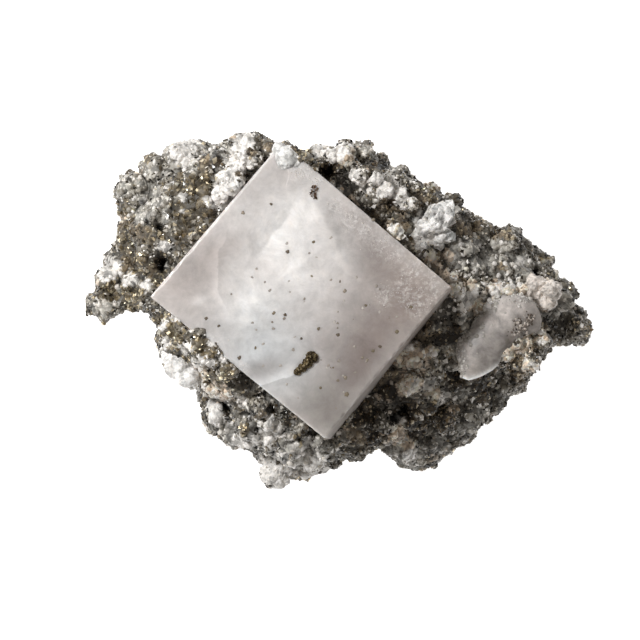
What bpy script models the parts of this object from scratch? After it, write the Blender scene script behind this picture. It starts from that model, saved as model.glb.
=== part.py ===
"""A cabinet specimen of fluorite on matrix, resting on its cut underside.

A milky fluorite cube sits face up in a lump of quartz and pyrite rock, with a smaller lens-shaped
crystal, calcite balls and pyrite clusters around and on it. All tables are in millimetres. The
origin is the middle of the specimen's box, on the surface that it rests on, with +Z up.
"""
import math

import bmesh
import bpy
import numpy as np
from mathutils import Vector

MM = 0.001
GAP = 0.3                      # left between two pieces that touch
SEED = 41

# ---- the matrix -------------------------------------------------------------------------------
HEART = (-3.5, 2.0)            # the point that the rim is measured from
RIM = (                        # the rim seen from above, clockwise from the left tip
    (-50.0, 0.6), (-48.5, 3.2), (-48.0, 8.0), (-44.5, 12.0), (-44.0, 15.0), (-43.5, 21.5),
    (-44.5, 23.5), (-43.5, 27.0), (-42.0, 28.0), (-39.5, 27.0), (-38.5, 31.0), (-36.5, 31.5),
    (-35.0, 31.0), (-32.0, 32.5), (-28.5, 33.0), (-25.0, 33.8), (-21.0, 33.8), (-18.0, 34.0),
    (-15.0, 34.5), (-11.5, 33.5), (-10.0, 32.0), (-7.0, 32.0), (-5.0, 31.0), (-4.0, 32.5),
    (-0.5, 33.5), (4.5, 34.0), (6.5, 33.0), (7.0, 31.0), (9.5, 31.0), (10.5, 29.0), (13.0, 27.0),
    (18.0, 25.0), (21.5, 23.0), (23.5, 23.5), (24.5, 21.5), (25.3, 18.8), (27.7, 20.0),
    (28.5, 18.8), (30.8, 17.2), (33.0, 18.0), (35.5, 16.5), (36.0, 15.5), (40.0, 13.0),
    (42.5, 10.0), (44.0, 6.5), (46.5, 6.0), (47.0, 4.0), (48.5, 0.0), (50.3, -1.5), (50.7, -3.5),
    (50.3, -6.2), (47.5, -6.6), (44.0, -6.5), (40.5, -9.5), (39.5, -13.0), (36.5, -17.0),
    (33.5, -20.0), (30.5, -22.0), (26.5, -26.5), (22.0, -29.5), (18.2, -32.4), (15.5, -33.5),
    (12.2, -32.4), (10.0, -29.0), (8.5, -27.5), (6.0, -28.0), (3.5, -30.0), (0.5, -30.5),
    (-3.0, -32.0), (-4.0, -33.3), (-7.5, -33.5), (-9.5, -33.3), (-13.5, -34.0), (-15.0, -32.5),
    (-16.5, -28.0), (-19.5, -27.5), (-22.0, -26.5), (-25.0, -25.5), (-26.5, -23.5),
    (-27.5, -21.0), (-27.0, -19.0), (-28.0, -16.0), (-31.0, -14.0), (-33.0, -12.5),
    (-34.5, -10.0), (-35.5, -8.5), (-36.0, -5.5), (-35.5, -3.8), (-38.0, -0.9), (-43.5, -0.3),
    (-47.5, -1.4),
)
LEVELS = (                     # x, y and the height of the rock's top there
    (-49.5, 1.0, 11), (-46.5, 5.0, 14), (-40.5, 3.0, 18), (-38.0, 1.5, 23), (-43.5, 10.0, 17),
    (-36.5, 13.0, 24), (-42.5, 22.0, 17), (-27.5, 24.0, 26), (-31.5, 33.0, 18), (-19.5, 29.0, 27),
    (-18.0, 35.0, 20), (-10.0, 31.0, 28), (-6.0, 31.0, 25), (-1.5, 28.5, 21), (1.5, 28.0, 23),
    (4.5, 33.0, 17), (6.5, 26.0, 23), (12.5, 25.0, 21), (10.5, 18.0, 20), (18.5, 12.5, 21),
    (23.5, 17.0, 22), (27.5, 19.0, 14), (26.5, 10.0, 21), (32.5, 14.0, 17), (42.5, 9.0, 14),
    (36.5, 4.0, 20), (41.5, 4.0, 19), (47.5, -2.0, 13), (50.5, -4.0, 11), (32.5, -5.0, 20),
    (38.5, -8.0, 20), (25.5, -13.5, 17), (34.5, -17.0, 12), (24.5, -22.0, 15), (15.5, -29.0, 13),
    (21.5, 0.0, 24), (18.5, -8.0, 22), (12.5, -17.0, 21), (8.5, -22.0, 19), (2.5, -25.5, 21),
    (-2.5, -28.0, 23), (-1.5, -31.0, 16), (-9.5, -25.5, 26), (-12.5, -33.0, 13),
    (-17.5, -20.5, 25), (-24.5, -21.0, 15), (-21.5, -13.5, 29), (-31.5, -12.5, 20),
    (-26.5, -8.0, 31), (-31.0, -5.0, 30), (-34.5, -4.5, 24), (-7.0, 4.0, 25),
)
LEVEL_NEAR = 2.0               # how soon a level point takes over, and how sharply it does
LEVEL_POWER = 2.6
RIM_BLUR = 0.45                # angle over which the rim is smoothed further in
RIM_KEEN = 8.0                 # how soon the rim's notches fade, going in
RIM_SHARE = 0.42               # height of the widest line, as a share of the rock's height
TOP_POWER = 5.0                # how flat the top stays before it rolls over the rim
BASE_POWER = 3.0               # the same for the underside, which rolls in sooner
BASE_CUT = 1.1                 # over 1, so that the underside ends flat
UNDER_CUT = (140.0, 140.0, 16.0)   # the block that trims it at the surface it rests on
UNDER_DIP = 0.5                # how far the untrimmed rock reaches below that surface
CRAG_CELL, CRAG_HEIGHT = 6.5, 2.6
CRAG_MIDDLE = 0.62             # the crag value that leaves the surface where it was
LEAN_POWER = 4.0               # how soon the crags turn from up to outward, towards the rim
SEGMENTS = 92
TOP_RINGS = (0.3, 0.4, 0.475, 0.545, 0.61, 0.67, 0.725, 0.775, 0.82, 0.865, 0.905, 0.94, 0.97,
             0.99, 1.0)
BASE_RINGS = (0.98, 0.93, 0.84, 0.7)

# x, y, z and radius of the lobes and calcite balls that stand out of the matrix
KNOBS = (
    (-46.6, 0.5, 8.0, 4.1), (-46.0, 6.6, 10.0, 2.6), (-41.6, 24.3, 12.5, 3.6),
    (-36.9, 28.9, 13.0, 2.9), (-31.2, 30.8, 16.0, 3.4), (-29.6, 33.0, 13.5, 2.3),
    (-18.2, 32.8, 21.5, 3.4), (-20.2, 27.6, 26.2, 2.7), (-15.2, 32.6, 20.0, 2.5),
    (-1.5, 30.4, 19.5, 2.2), (1.6, 31.2, 19.0, 2.2), (4.6, 31.6, 17.0, 2.4),
    (4.4, 26.0, 22.4, 2.2), (8.2, 22.8, 21.4, 2.2), (11.6, 26.0, 19.4, 2.5),
    (11.9, 21.6, 19.8, 2.4), (28.4, 16.6, 13.5, 3.2), (33.9, 14.8, 13.5, 2.8),
    (46.3, 2.4, 12.0, 2.7), (48.6, -3.8, 10.0, 2.8), (37.9, -9.4, 20.0, 2.9),
    (40.2, -6.0, 19.6, 2.2), (36.0, -12.0, 16.0, 2.2), (14.6, -8.8, 22.4, 2.2),
    (12.4, -11.6, 21.6, 1.8), (15.2, -13.0, 21.0, 2.4), (18.8, -17.6, 18.0, 2.2),
    (13.4, -27.4, 12.5, 2.8), (21.0, -22.2, 14.0, 2.8), (-4.9, -29.7, 15.5, 3.0),
    (-11.8, -32.5, 10.5, 3.3), (-9.6, -28.2, 18.6, 2.8), (-15.4, -19.4, 26.0, 2.2),
    (-13.8, -21.8, 25.0, 1.9), (-24.0, -20.6, 13.0, 3.5), (-20.0, -24.4, 14.5, 3.0),
    (-34.0, -5.6, 16.0, 2.6), (24.0, -1.0, 22.8, 1.9), (27.3, 3.6, 21.2, 2.2),
)
DRUSE_COUNT = 190              # smaller lumps of druse, strewn over the rock
DRUSE_RADIUS = (1.2, 2.5)
DRUSE_SINK = 0.45              # how deep a lump sits, as a share of its radius
DRUSE_ABOVE = 0.8              # share of the lumps that grow above the widest line
DRUSE_INNER = 0.2              # share of the rock's area, at its heart, that has none
DRUSE_UNDER = 0.93             # nearest to the middle that a lump grows on the underside
CORE = (-3.5, 2.0, 8.0)        # the point that the lumps are rooted towards
VOXEL = 0.8                    # the lumps and the rock are grown together at this fineness
MATRIX_SHARE = 0.07            # share of the fine mesh's triangles that is kept
# the crust that has climbed over the cube's lower left edge
CRUST = (
    (-32.6, -2.6, 29.0, 3.0), (-29.4, -3.6, 30.2, 3.0), (-26.2, -4.8, 31.0, 3.0),
    (-23.4, -7.4, 31.2, 3.0), (-20.8, -10.4, 31.2, 2.6),
)

# ---- the crystals -----------------------------------------------------------------------------
CUBE_CORNERS = (               # of its top face: left, top, right and low
    (-36.35, 2.45), (-10.85, 32.4), (21.55, 4.4), (-2.65, -24.75),
)
CUBE_HEIGHT = 34.0             # of the middle of its top face
CUBE_TILT = math.radians(5.5)  # the top face leans back to the left
CUBE_DEPTH = 24.0              # from the top face to the buried one
CUBE_BEVEL = 0.45
CUBE_BEVEL_STEPS = 2

LENS_CENTRE = (30.8, -5.2)
LENS_RIM = (
    (24.2, -13.3), (25.6, -13.9), (27.4, -13.4), (29.3, -12.5), (31.0, -11.3), (32.3, -8.9),
    (34.3, -6.6), (36.9, -5.0), (39.6, -4.2), (40.0, -1.9), (39.4, -0.1), (38.0, 2.2),
    (35.3, 3.1), (31.6, 2.7), (29.6, 2.2), (28.6, -0.7), (26.8, -2.3), (25.7, -4.5),
    (23.6, -6.3), (23.2, -8.6), (24.0, -11.0),
)
LENS_TOP, LENS_CROWN, LENS_FLOOR = 22.6, 1.9, 16.2
LENS_RISE = 0.13               # slope of its top
LENS_RISE_WAY = (0.6, -0.8)    # and the way it rises: towards its thin lower edge
LENS_EDGE = 1.0                # thickness of that edge
LENS_GAP = 0.36                # its sloping walls need a wider pocket to keep the gap
LENS_SEGMENTS = 40
LENS_RINGS = (0.4, 0.7, 0.9, 1.0)

# ---- the pieces that have grown on them: balls of x, y, z and radius ------------------------------
CORNER_CALCITE = ((-10.2, 28.7, 31.2, 2.35), (-8.6, 28.0, 30.8, 1.7), (-11.7, 29.5, 30.2, 1.5))
CALCITE_MASS = ((19.4, 18.4, 21.6, 2.9), (17.0, 15.6, 21.2, 2.4), (21.4, 19.8, 21.0, 2.2),
                (19.6, 13.4, 20.6, 2.2), (16.4, 12.4, 19.6, 1.5))
PINK_CALCITE = ((39.2, 4.1, 20.0, 2.5), (41.4, 3.9, 20.4, 2.5), (41.0, 2.2, 19.6, 2.2),
                (38.4, 5.2, 19.2, 1.5))
RIM_CALCITE = ((-31.6, -11.2, 20.2, 2.6), (-29.6, -12.9, 20.6, 2.5), (-33.0, -9.2, 20.0, 2.0))
BALL_DETAIL = 2                # subdivisions of a ball: 320 faces
FACET = 0.09                   # how far a ball's corners stray, as a share of its radius
# pyrite on the cube's top face: balls of x, y and radius
PYRITE_CLUSTER = ((-5.1, -9.2, 1.35), (-5.9, -10.3, 1.05), (-6.9, -11.2, 0.9), (-7.8, -11.9, 0.75))
PYRITE_SPOT = ((-4.6, 23.2, 0.8), (-4.9, 22.2, 0.65))
PYRITE_RISE = 0.1              # of a pyrite ball's middle over the cube's face

COLOURS = {                    # colour, roughness and metallic value of each piece
    "matrix": ((0.17, 0.155, 0.13), 0.7, 0.0),
    "fluorite_cube": ((0.55, 0.52, 0.5), 0.25, 0.0),
    "side_crystal": ((0.4, 0.38, 0.36), 0.3, 0.0),
    "corner_calcite": ((0.62, 0.58, 0.54), 0.5, 0.0),
    "calcite_mass": ((0.58, 0.56, 0.54), 0.5, 0.0),
    "pink_calcite": ((0.44, 0.35, 0.3), 0.55, 0.0),
    "rim_calcite": ((0.62, 0.58, 0.53), 0.4, 0.0),
    "pyrite_cluster": ((0.3, 0.22, 0.11), 0.3, 1.0),
    "pyrite_spot": ((0.3, 0.22, 0.11), 0.3, 1.0),
}


def clear_scene():
    """Take away whatever the file opened with."""
    for obj in list(bpy.data.objects):
        bpy.data.objects.remove(obj, do_unlink=True)


def new_collection(name):
    """A collection linked to the scene."""
    made = bpy.data.collections.new(name)
    bpy.context.scene.collection.children.link(made)
    return made


def finish(name):
    """The Principled material of one piece."""
    colour, roughness, metallic = COLOURS[name]
    material = bpy.data.materials.new(name)
    material.use_nodes = True
    shader = material.node_tree.nodes["Principled BSDF"]
    shader.inputs["Base Color"].default_value = (*colour, 1.0)
    shader.inputs["Roughness"].default_value = roughness
    shader.inputs["Metallic"].default_value = metallic
    return material


def add_object(name, mesh, collection):
    """An object at the origin for a mesh; a cutter or a guide is kept out of the renders."""
    obj = bpy.data.objects.new(name, mesh)
    collection.objects.link(obj)
    if collection is GUIDES:
        obj.hide_render = True
        obj.display_type = "WIRE"
    else:
        mesh.materials.append(finish(name))
    return obj


def boolean(obj, other, operation):
    """Join another object to this one, or cut it out."""
    modifier = obj.modifiers.new(f"{operation.lower()} {other.name}", "BOOLEAN")
    modifier.operation = operation
    modifier.object = other
    modifier.solver = "EXACT"


def hashed(cells, salt):
    """A fixed number from 0 to 1 for each row of whole numbers."""
    mixed = cells @ np.array((12.9898, 78.233, 37.719)) + salt * 17.17
    return np.modf(np.abs(np.sin(mixed) * 43758.5453))[0]


def crags(points, cell):
    """Rounded lumps: 1 at the middle of each cell, down to 0 in the creases between cells."""
    scaled = points / cell
    home = np.floor(scaled)
    nearest = np.full(len(points), 9.0)
    for step in np.ndindex(3, 3, 3):
        corner = home + np.array(step) - 1.0
        jitter = np.stack([hashed(corner, salt) for salt in range(3)], axis=1)
        nearest = np.minimum(nearest, ((corner + jitter - scaled) ** 2).sum(axis=1))
    return 1.0 - np.minimum(nearest, 1.0)


def rim_radius(angle, rim, centre):
    """Distance from the centre to a rim of points, at each angle."""
    reach = np.array(rim) - centre
    turn = np.arctan2(reach[:, 1], reach[:, 0])
    order = np.argsort(turn)
    return np.interp(angle, turn[order], np.hypot(*reach.T)[order], period=2 * math.pi)


def rock_reach(angle, share):
    """Distance out from the heart: the rim's notches fade towards the middle of the rock."""
    sharp = rim_radius(angle, RIM, HEART)
    turns = np.linspace(-RIM_BLUR, RIM_BLUR, 9)
    soft = np.mean([rim_radius(angle + turn, RIM, HEART) for turn in turns], axis=0)
    return share * (soft + (sharp - soft) * share ** RIM_KEEN)


def rock_height(x, y):
    """Height of the rock's top: the levels, weighted by nearness."""
    level = np.array(LEVELS)
    squared = (x[:, None] - level[:, 0]) ** 2 + (y[:, None] - level[:, 1]) ** 2
    weight = 1.0 / (squared + LEVEL_NEAR) ** LEVEL_POWER
    return (weight * level[:, 2]).sum(axis=1) / weight.sum(axis=1)


def rock_surface(angle, share, above):
    """Points of the matrix at an angle and a share of the rim's distance, above or below the rim.

    The top follows the levels and rolls over the rim as a superellipse. The underside does the
    same more roundly and is cut off flat. Crags push the whole out and in along its slope.
    """
    reach = rock_reach(angle, share)
    x = HEART[0] + reach * np.cos(angle)
    y = HEART[1] + reach * np.sin(angle)
    height = rock_height(x, y)
    widest = RIM_SHARE * height
    roll = np.sqrt(1.0 - share ** TOP_POWER)
    tuck = np.minimum(BASE_CUT * np.sqrt(1.0 - share ** BASE_POWER), 1.0)
    under = (widest + UNDER_DIP) * (1.0 - tuck) - UNDER_DIP
    z = np.where(above, widest + (height - widest) * roll, under)
    lean = share ** LEAN_POWER
    up = np.where(above, roll, -tuck)
    slope = np.stack([np.cos(angle) * lean, np.sin(angle) * lean, up], axis=1)
    slope /= np.linalg.norm(slope, axis=1)[:, None]
    points = np.stack([x, y, z], axis=1)
    push = CRAG_HEIGHT * (crags(points, CRAG_CELL) - CRAG_MIDDLE) * np.where(above, 1.0, 1.0 - tuck)
    points += slope * push[:, None]
    return points


def mapped_sphere(segments, rings, place):
    """A sphere primitive whose corners are moved by a function of angle and ring number.

    place(angle, ring) gives millimetres; ring 0 is the top pole and the last ring the bottom one.
    """
    shell = bmesh.new()
    bmesh.ops.create_uvsphere(shell, u_segments=segments, v_segments=rings, radius=1.0)
    corners = np.array([vert.co[:] for vert in shell.verts])
    angle = np.arctan2(corners[:, 1], corners[:, 0])
    ring = np.rint(np.arccos(np.clip(corners[:, 2], -1.0, 1.0)) / math.pi * rings).astype(int)
    for vert, point in zip(shell.verts, place(angle, ring) * MM):
        vert.co = point
    bmesh.ops.triangulate(shell, faces=shell.faces)
    mesh = bpy.data.meshes.new("shell")
    shell.to_mesh(mesh)
    shell.free()
    return mesh


def ball_mesh(centre, radius, seed, facet):
    """A faceted ball: an icosphere whose corners stray in and out."""
    random = np.random.default_rng(seed)
    shell = bmesh.new()
    bmesh.ops.create_icosphere(shell, subdivisions=BALL_DETAIL, radius=radius * MM)
    for vert in shell.verts:
        vert.co *= 1.0 + facet * random.uniform(-1.0, 1.0)
        vert.co += Vector(centre) * MM
    mesh = bpy.data.meshes.new("ball")
    shell.to_mesh(mesh)
    shell.free()
    return mesh


def ball(name, centre, radius, seed, facet=FACET):
    """A ball that is a guide for a Boolean."""
    return add_object(name, ball_mesh(centre, radius, seed, facet), GUIDES)


def block(name, centre, size):
    """A box that is a cutter."""
    shell = bmesh.new()
    bmesh.ops.create_cube(shell, size=1.0)
    for vert in shell.verts:
        vert.co = (Vector(centre) + Vector(np.multiply(vert.co, size))) * MM
    mesh = bpy.data.meshes.new(name)
    shell.to_mesh(mesh)
    shell.free()
    return add_object(name, mesh, GUIDES)


def on_face(x, y):
    """Height of the cube's top face over a point."""
    middle = np.mean(CUBE_CORNERS, axis=0)
    return CUBE_HEIGHT + math.tan(CUBE_TILT) * float(np.dot(np.array((x, y)) - middle, CUBE_ALONG))


def druse():
    """The centre and radius of the small lumps: strewn evenly over the rock and let into it."""
    random = np.random.default_rng(SEED)
    angle = random.uniform(-math.pi, math.pi, DRUSE_COUNT)
    share = np.sqrt(random.uniform(DRUSE_INNER, 1.0, DRUSE_COUNT))
    above = random.uniform(0.0, 1.0, DRUSE_COUNT) < DRUSE_ABOVE
    share = np.where(above, share, DRUSE_UNDER + (1.0 - DRUSE_UNDER) * share)
    radius = random.uniform(*DRUSE_RADIUS, DRUSE_COUNT)
    points = rock_surface(angle, share, above)
    inward = np.array(CORE) - points
    inward /= np.linalg.norm(inward, axis=1)[:, None]
    return np.column_stack([points + inward * (radius * DRUSE_SINK)[:, None], radius])


def make_matrix():
    """The rock: a sphere drawn out to the rim, grown together with its knobs and druse.

    The remeshing turns the overlapping shells into one skin, and the last cut makes it rest flat.
    """
    rings = 2 + len(TOP_RINGS) + len(BASE_RINGS) - 1
    share = np.array((0.0, *TOP_RINGS, *BASE_RINGS, 0.0))
    shell = bmesh.new()
    shell.from_mesh(mapped_sphere(SEGMENTS, rings, lambda angle, ring: rock_surface(
        angle, share[ring], ring <= len(TOP_RINGS))))
    for number, (*centre, radius) in enumerate([*KNOBS, *druse()]):
        shell.from_mesh(ball_mesh(centre, radius, SEED + number, FACET))
    mesh = bpy.data.meshes.new("matrix")
    shell.to_mesh(mesh)
    shell.free()
    rock = add_object("matrix", mesh, SPECIMEN)
    skin = rock.modifiers.new("grown together", "REMESH")
    skin.mode = "VOXEL"
    skin.voxel_size = VOXEL * MM
    fewer = rock.modifiers.new("fewer faces", "DECIMATE")
    fewer.ratio = MATRIX_SHARE
    boolean(rock, block("under cut", (0.0, 0.0, -UNDER_CUT[2] / 2), UNDER_CUT), "DIFFERENCE")
    return rock


def cube_block(name, collection, grow):
    """The cube as a primitive whose corners are set from its top face, larger by grow all round."""
    down = np.array((CUBE_ALONG[0] * math.sin(CUBE_TILT), CUBE_ALONG[1] * math.sin(CUBE_TILT),
                     -math.cos(CUBE_TILT)))
    top = [np.array((x, y, on_face(x, y))) for x, y in CUBE_CORNERS]
    middle = np.mean(top, axis=0)
    top = [corner + (corner - middle) / np.linalg.norm(corner - middle) * grow * math.sqrt(2)
           for corner in top]
    quadrant = {(-1, -1): 0, (-1, 1): 1, (1, 1): 2, (1, -1): 3}
    shell = bmesh.new()
    bmesh.ops.create_cube(shell, size=2.0)
    for vert in shell.verts:
        corner = top[quadrant[(round(vert.co.x), round(vert.co.y))]]
        sink = -grow if vert.co.z > 0 else CUBE_DEPTH + grow
        vert.co = (corner + down * sink) * MM
    mesh = bpy.data.meshes.new(name)
    shell.to_mesh(mesh)
    shell.free()
    return add_object(name, mesh, collection)


def make_cube(rock):
    """The fluorite cube, with its pocket in the rock and the crust over its lower left edge."""
    cube = cube_block("fluorite_cube", SPECIMEN, 0.0)
    bevel = cube.modifiers.new("edges", "BEVEL")
    bevel.width = CUBE_BEVEL * MM
    bevel.segments = CUBE_BEVEL_STEPS
    boolean(rock, cube_block("cube pocket", GUIDES, GAP), "DIFFERENCE")
    for number, (x, y, z, radius) in enumerate(CRUST):
        seed = SEED + 100 + number
        boolean(rock, ball(f"crust {number}", (x, y, z), radius, seed), "UNION")
        clear = radius * (1.0 + FACET) + GAP
        boolean(cube, ball(f"crust notch {number}", (x, y, z), clear, seed, 0.0), "DIFFERENCE")
    return cube


def lens_surface(angle, ring, grow):
    """Points of the lens: a crowned top that rises to the thin lower edge, and a rounded keel."""
    share = np.array((0.0, *LENS_RINGS, *LENS_RINGS[::-1], 0.0))[ring]
    above = ring <= len(LENS_RINGS)
    reach = share * (rim_radius(angle, LENS_RIM, LENS_CENTRE) + grow)
    x = LENS_CENTRE[0] + reach * np.cos(angle)
    y = LENS_CENTRE[1] + reach * np.sin(angle)
    rise = LENS_RISE * ((x - LENS_CENTRE[0]) * LENS_RISE_WAY[0] + (y - LENS_CENTRE[1]) * LENS_RISE_WAY[1])
    top = LENS_TOP + LENS_CROWN * (1.0 - share ** 2) + rise + grow
    keel = LENS_FLOOR + (LENS_TOP + rise - LENS_EDGE - LENS_FLOOR) * share ** 4 - grow
    return np.stack([x, y, np.where(above, top, keel)], axis=1)


def make_lens(rock):
    """The smaller crystal, lying in its own pocket."""
    rings = 2 * len(LENS_RINGS) + 1
    mesh = mapped_sphere(LENS_SEGMENTS, rings, lambda angle, ring: lens_surface(angle, ring, 0.0))
    lens = add_object("side_crystal", mesh, SPECIMEN)
    wide = mapped_sphere(LENS_SEGMENTS, rings, lambda angle, ring: lens_surface(angle, ring, LENS_GAP))
    boolean(rock, add_object("lens pocket", wide, GUIDES), "DIFFERENCE")
    return lens


def make_growth(name, balls, carriers, seed):
    """A cluster of balls joined into one piece, let into each piece that carries it."""
    first, *others = [ball(f"{name} {number}", (x, y, z), radius, seed + number)
                      for number, (x, y, z, radius) in enumerate(balls)]
    growth = add_object(name, first.data.copy(), SPECIMEN)
    for other in others:
        boolean(growth, other, "UNION")
    for number, (x, y, z, radius) in enumerate(balls):
        clear = radius * (1.0 + FACET) + GAP
        notch = ball(f"{name} notch {number}", (x, y, z), clear, seed, 0.0)
        for carrier in carriers:
            boolean(carrier, notch, "DIFFERENCE")
    return growth


def on_cube(balls):
    """Balls that are given from above, set on the cube's tilted face."""
    return [(x, y, on_face(x, y) + PYRITE_RISE, radius) for x, y, radius in balls]


clear_scene()
SPECIMEN = new_collection("fluorite_specimen")
GUIDES = new_collection("cutters_and_guides")
LOW_EDGE = np.subtract(CUBE_CORNERS[3], CUBE_CORNERS[0])
CUBE_ALONG = LOW_EDGE / np.linalg.norm(LOW_EDGE)

matrix = make_matrix()
fluorite = make_cube(matrix)
make_lens(matrix)
make_growth("corner_calcite", CORNER_CALCITE, (matrix, fluorite), SEED + 200)
make_growth("calcite_mass", CALCITE_MASS, (matrix,), SEED + 210)
make_growth("pink_calcite", PINK_CALCITE, (matrix,), SEED + 220)
make_growth("rim_calcite", RIM_CALCITE, (matrix,), SEED + 230)
make_growth("pyrite_cluster", on_cube(PYRITE_CLUSTER), (fluorite,), SEED + 240)
make_growth("pyrite_spot", on_cube(PYRITE_SPOT), (fluorite,), SEED + 250)
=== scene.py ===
"""A fluorite cube on its matrix of quartz, pyrite and calcite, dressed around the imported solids.

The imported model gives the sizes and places. Every piece here is a surface worked out in
millimetres, with the same formulas as the solid that it stands for, and is turned to metres when
its mesh is made. The left of the specimen is -X, its far side +Y, and it rests on z = 0.
"""
import math

import bmesh
import bpy
import numpy as np
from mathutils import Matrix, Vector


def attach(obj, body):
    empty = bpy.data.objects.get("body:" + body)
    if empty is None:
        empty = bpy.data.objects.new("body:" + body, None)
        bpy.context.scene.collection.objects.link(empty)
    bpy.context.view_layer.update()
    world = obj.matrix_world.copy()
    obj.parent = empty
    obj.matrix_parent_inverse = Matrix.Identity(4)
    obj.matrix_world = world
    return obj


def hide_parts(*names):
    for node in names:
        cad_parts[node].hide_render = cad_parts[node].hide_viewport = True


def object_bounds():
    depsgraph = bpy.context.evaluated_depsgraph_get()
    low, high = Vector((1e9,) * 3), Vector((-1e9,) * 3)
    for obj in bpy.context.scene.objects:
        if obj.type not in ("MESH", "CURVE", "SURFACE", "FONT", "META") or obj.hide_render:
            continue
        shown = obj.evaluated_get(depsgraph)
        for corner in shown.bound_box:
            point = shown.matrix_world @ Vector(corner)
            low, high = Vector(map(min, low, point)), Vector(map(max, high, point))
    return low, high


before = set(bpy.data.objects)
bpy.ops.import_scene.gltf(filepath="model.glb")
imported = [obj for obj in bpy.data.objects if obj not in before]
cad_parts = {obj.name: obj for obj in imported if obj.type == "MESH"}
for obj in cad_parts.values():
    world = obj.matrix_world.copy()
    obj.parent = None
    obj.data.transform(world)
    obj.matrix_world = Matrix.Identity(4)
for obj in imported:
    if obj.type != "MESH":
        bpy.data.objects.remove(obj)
CAD_BOX = [list(corner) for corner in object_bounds()]

# ---- the rock skin ------------------------------------------------------------------------------
# The matrix is one lump of grey quartz druse, run through with pyrite and crusted with calcite.
# It grew as one piece in a vein and was trimmed below, so it is one closed skin: a star of rings
# from its top pole to its flat underside, pushed out wherever a lobe, a ball or a lump of druse
# has grown, and pushed in at its vugs.
MM = 0.001
SEED = 41
HEART = (-3.5, 2.0)            # the point that the rim is measured from
CORE = (-3.5, 2.0, 8.0)        # the point that the lumps are rooted towards
RIM = (                        # the rim seen from above, clockwise from the left tip
    (-50.0, 0.6), (-49.2, 3.1), (-47.1, 8.2), (-46.3, 10.5), (-44.5, 12.0), (-44.0, 15.0),
    (-43.5, 21.5), (-43.9, 23.5), (-42.9, 26.7), (-41.9, 28.0), (-39.5, 26.7), (-37.7, 30.4),
    (-36.2, 31.2), (-35.0, 31.0), (-31.8, 31.5), (-28.5, 33.9), (-25.0, 33.8), (-21.0, 33.5),
    (-18.0, 34.0), (-15.0, 33.8), (-11.5, 32.2), (-10.0, 30.8), (-7.0, 30.8), (-5.0, 30.5),
    (-4.0, 31.9), (-0.5, 32.0), (4.5, 32.6), (6.3, 32.4), (6.8, 30.6), (9.3, 30.4), (10.9, 28.8),
    (12.7, 28.4), (13.6, 27.0), (15.2, 25.0), (17.7, 23.8), (21.0, 21.9), (23.4, 22.4),
    (24.0, 20.3), (25.2, 17.7), (28.3, 19.0), (29.8, 17.4), (31.4, 15.9), (33.8, 16.5),
    (36.0, 16.2), (36.2, 14.7), (39.7, 12.5), (42.5, 10.0), (44.2, 7.3), (43.6, 6.2), (45.4, 5.0),
    (46.2, 3.2), (48.1, 0.0), (50.0, -1.5), (50.7, -3.5), (50.3, -6.3), (47.5, -6.6), (43.4, -7.7),
    (40.2, -9.4), (38.5, -12.5), (35.7, -16.3), (32.8, -19.2), (30.1, -21.6), (26.2, -26.1),
    (21.8, -28.6), (18.0, -31.2), (15.5, -32.3), (12.4, -31.3), (10.2, -28.3), (8.5, -26.5),
    (6.0, -26.4), (3.5, -28.6), (0.5, -29.4), (-2.4, -31.8), (-4.4, -32.2), (-7.5, -32.4),
    (-9.5, -33.3), (-12.6, -34.0), (-13.9, -32.3), (-15.9, -28.0), (-19.5, -27.5), (-22.4, -27.0),
    (-24.7, -25.3), (-25.9, -23.3), (-26.3, -21.0), (-26.4, -19.0), (-28.0, -16.0), (-31.0, -14.0),
    (-33.0, -12.5), (-34.5, -10.0), (-34.9, -8.5), (-35.2, -5.5), (-34.6, -3.8), (-37.5, 0.1),
    (-43.5, 0.7), (-48.5, 0.3),
)
LEVELS = (                     # x, y and the height of the rock's top there
    (-49.5, 1.0, 11), (-46.5, 5.0, 14), (-40.5, 3.0, 18), (-38.0, 1.5, 23), (-43.5, 10.0, 17),
    (-36.5, 13.0, 24), (-42.5, 22.0, 17), (-27.5, 24.0, 26), (-31.5, 33.0, 18), (-19.5, 29.0, 27),
    (-18.0, 35.0, 20), (-10.0, 31.0, 28), (-6.0, 31.0, 25), (-1.5, 28.5, 21), (1.5, 28.0, 23),
    (4.5, 33.0, 17), (6.5, 26.0, 23), (12.5, 25.0, 21), (10.5, 18.0, 20), (18.5, 12.5, 21),
    (23.5, 17.0, 22), (27.5, 19.0, 14), (26.5, 10.0, 21), (32.5, 14.0, 17), (42.5, 9.0, 14),
    (36.5, 4.0, 20), (41.5, 4.0, 19), (47.5, -2.0, 13), (50.5, -4.0, 11), (32.5, -5.0, 20),
    (38.5, -8.0, 20), (25.5, -13.5, 17), (34.5, -17.0, 12), (24.5, -22.0, 15), (15.5, -29.0, 13),
    (21.5, 0.0, 24), (18.5, -8.0, 22), (12.5, -17.0, 21), (8.5, -22.0, 19), (2.5, -25.5, 21),
    (-2.5, -28.0, 23), (-1.5, -31.0, 16), (-9.5, -25.5, 26), (-12.5, -33.0, 13),
    (-17.5, -20.5, 25), (-24.5, -21.0, 15), (-21.5, -13.5, 29), (-31.5, -12.5, 20),
    (-26.5, -8.0, 31), (-31.0, -5.0, 30), (-34.5, -4.5, 24), (-7.0, 4.0, 25),
)
LEVEL_NEAR, LEVEL_POWER = 2.0, 2.6     # how soon a level takes over, and how sharply
RIM_BLUR, BLUR_STEPS = 0.45, 9         # angle over which the rim is smoothed further in
RIM_KEEN = 8.0                 # how soon the rim's notches fade, going in
RIM_SHARE = 0.42               # height of the widest line, as a share of the rock's height
TOP_POWER, BASE_POWER = 5.0, 3.0       # how flat the top and the underside stay to their edge
BASE_CUT = 1.1                 # over 1, so that the underside ends flat
LEAN_POWER = 4.0               # how late the slope leans outwards, towards the rim
CRAG_MIDDLE = 0.62             # the crag value that leaves the surface where it was
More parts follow.
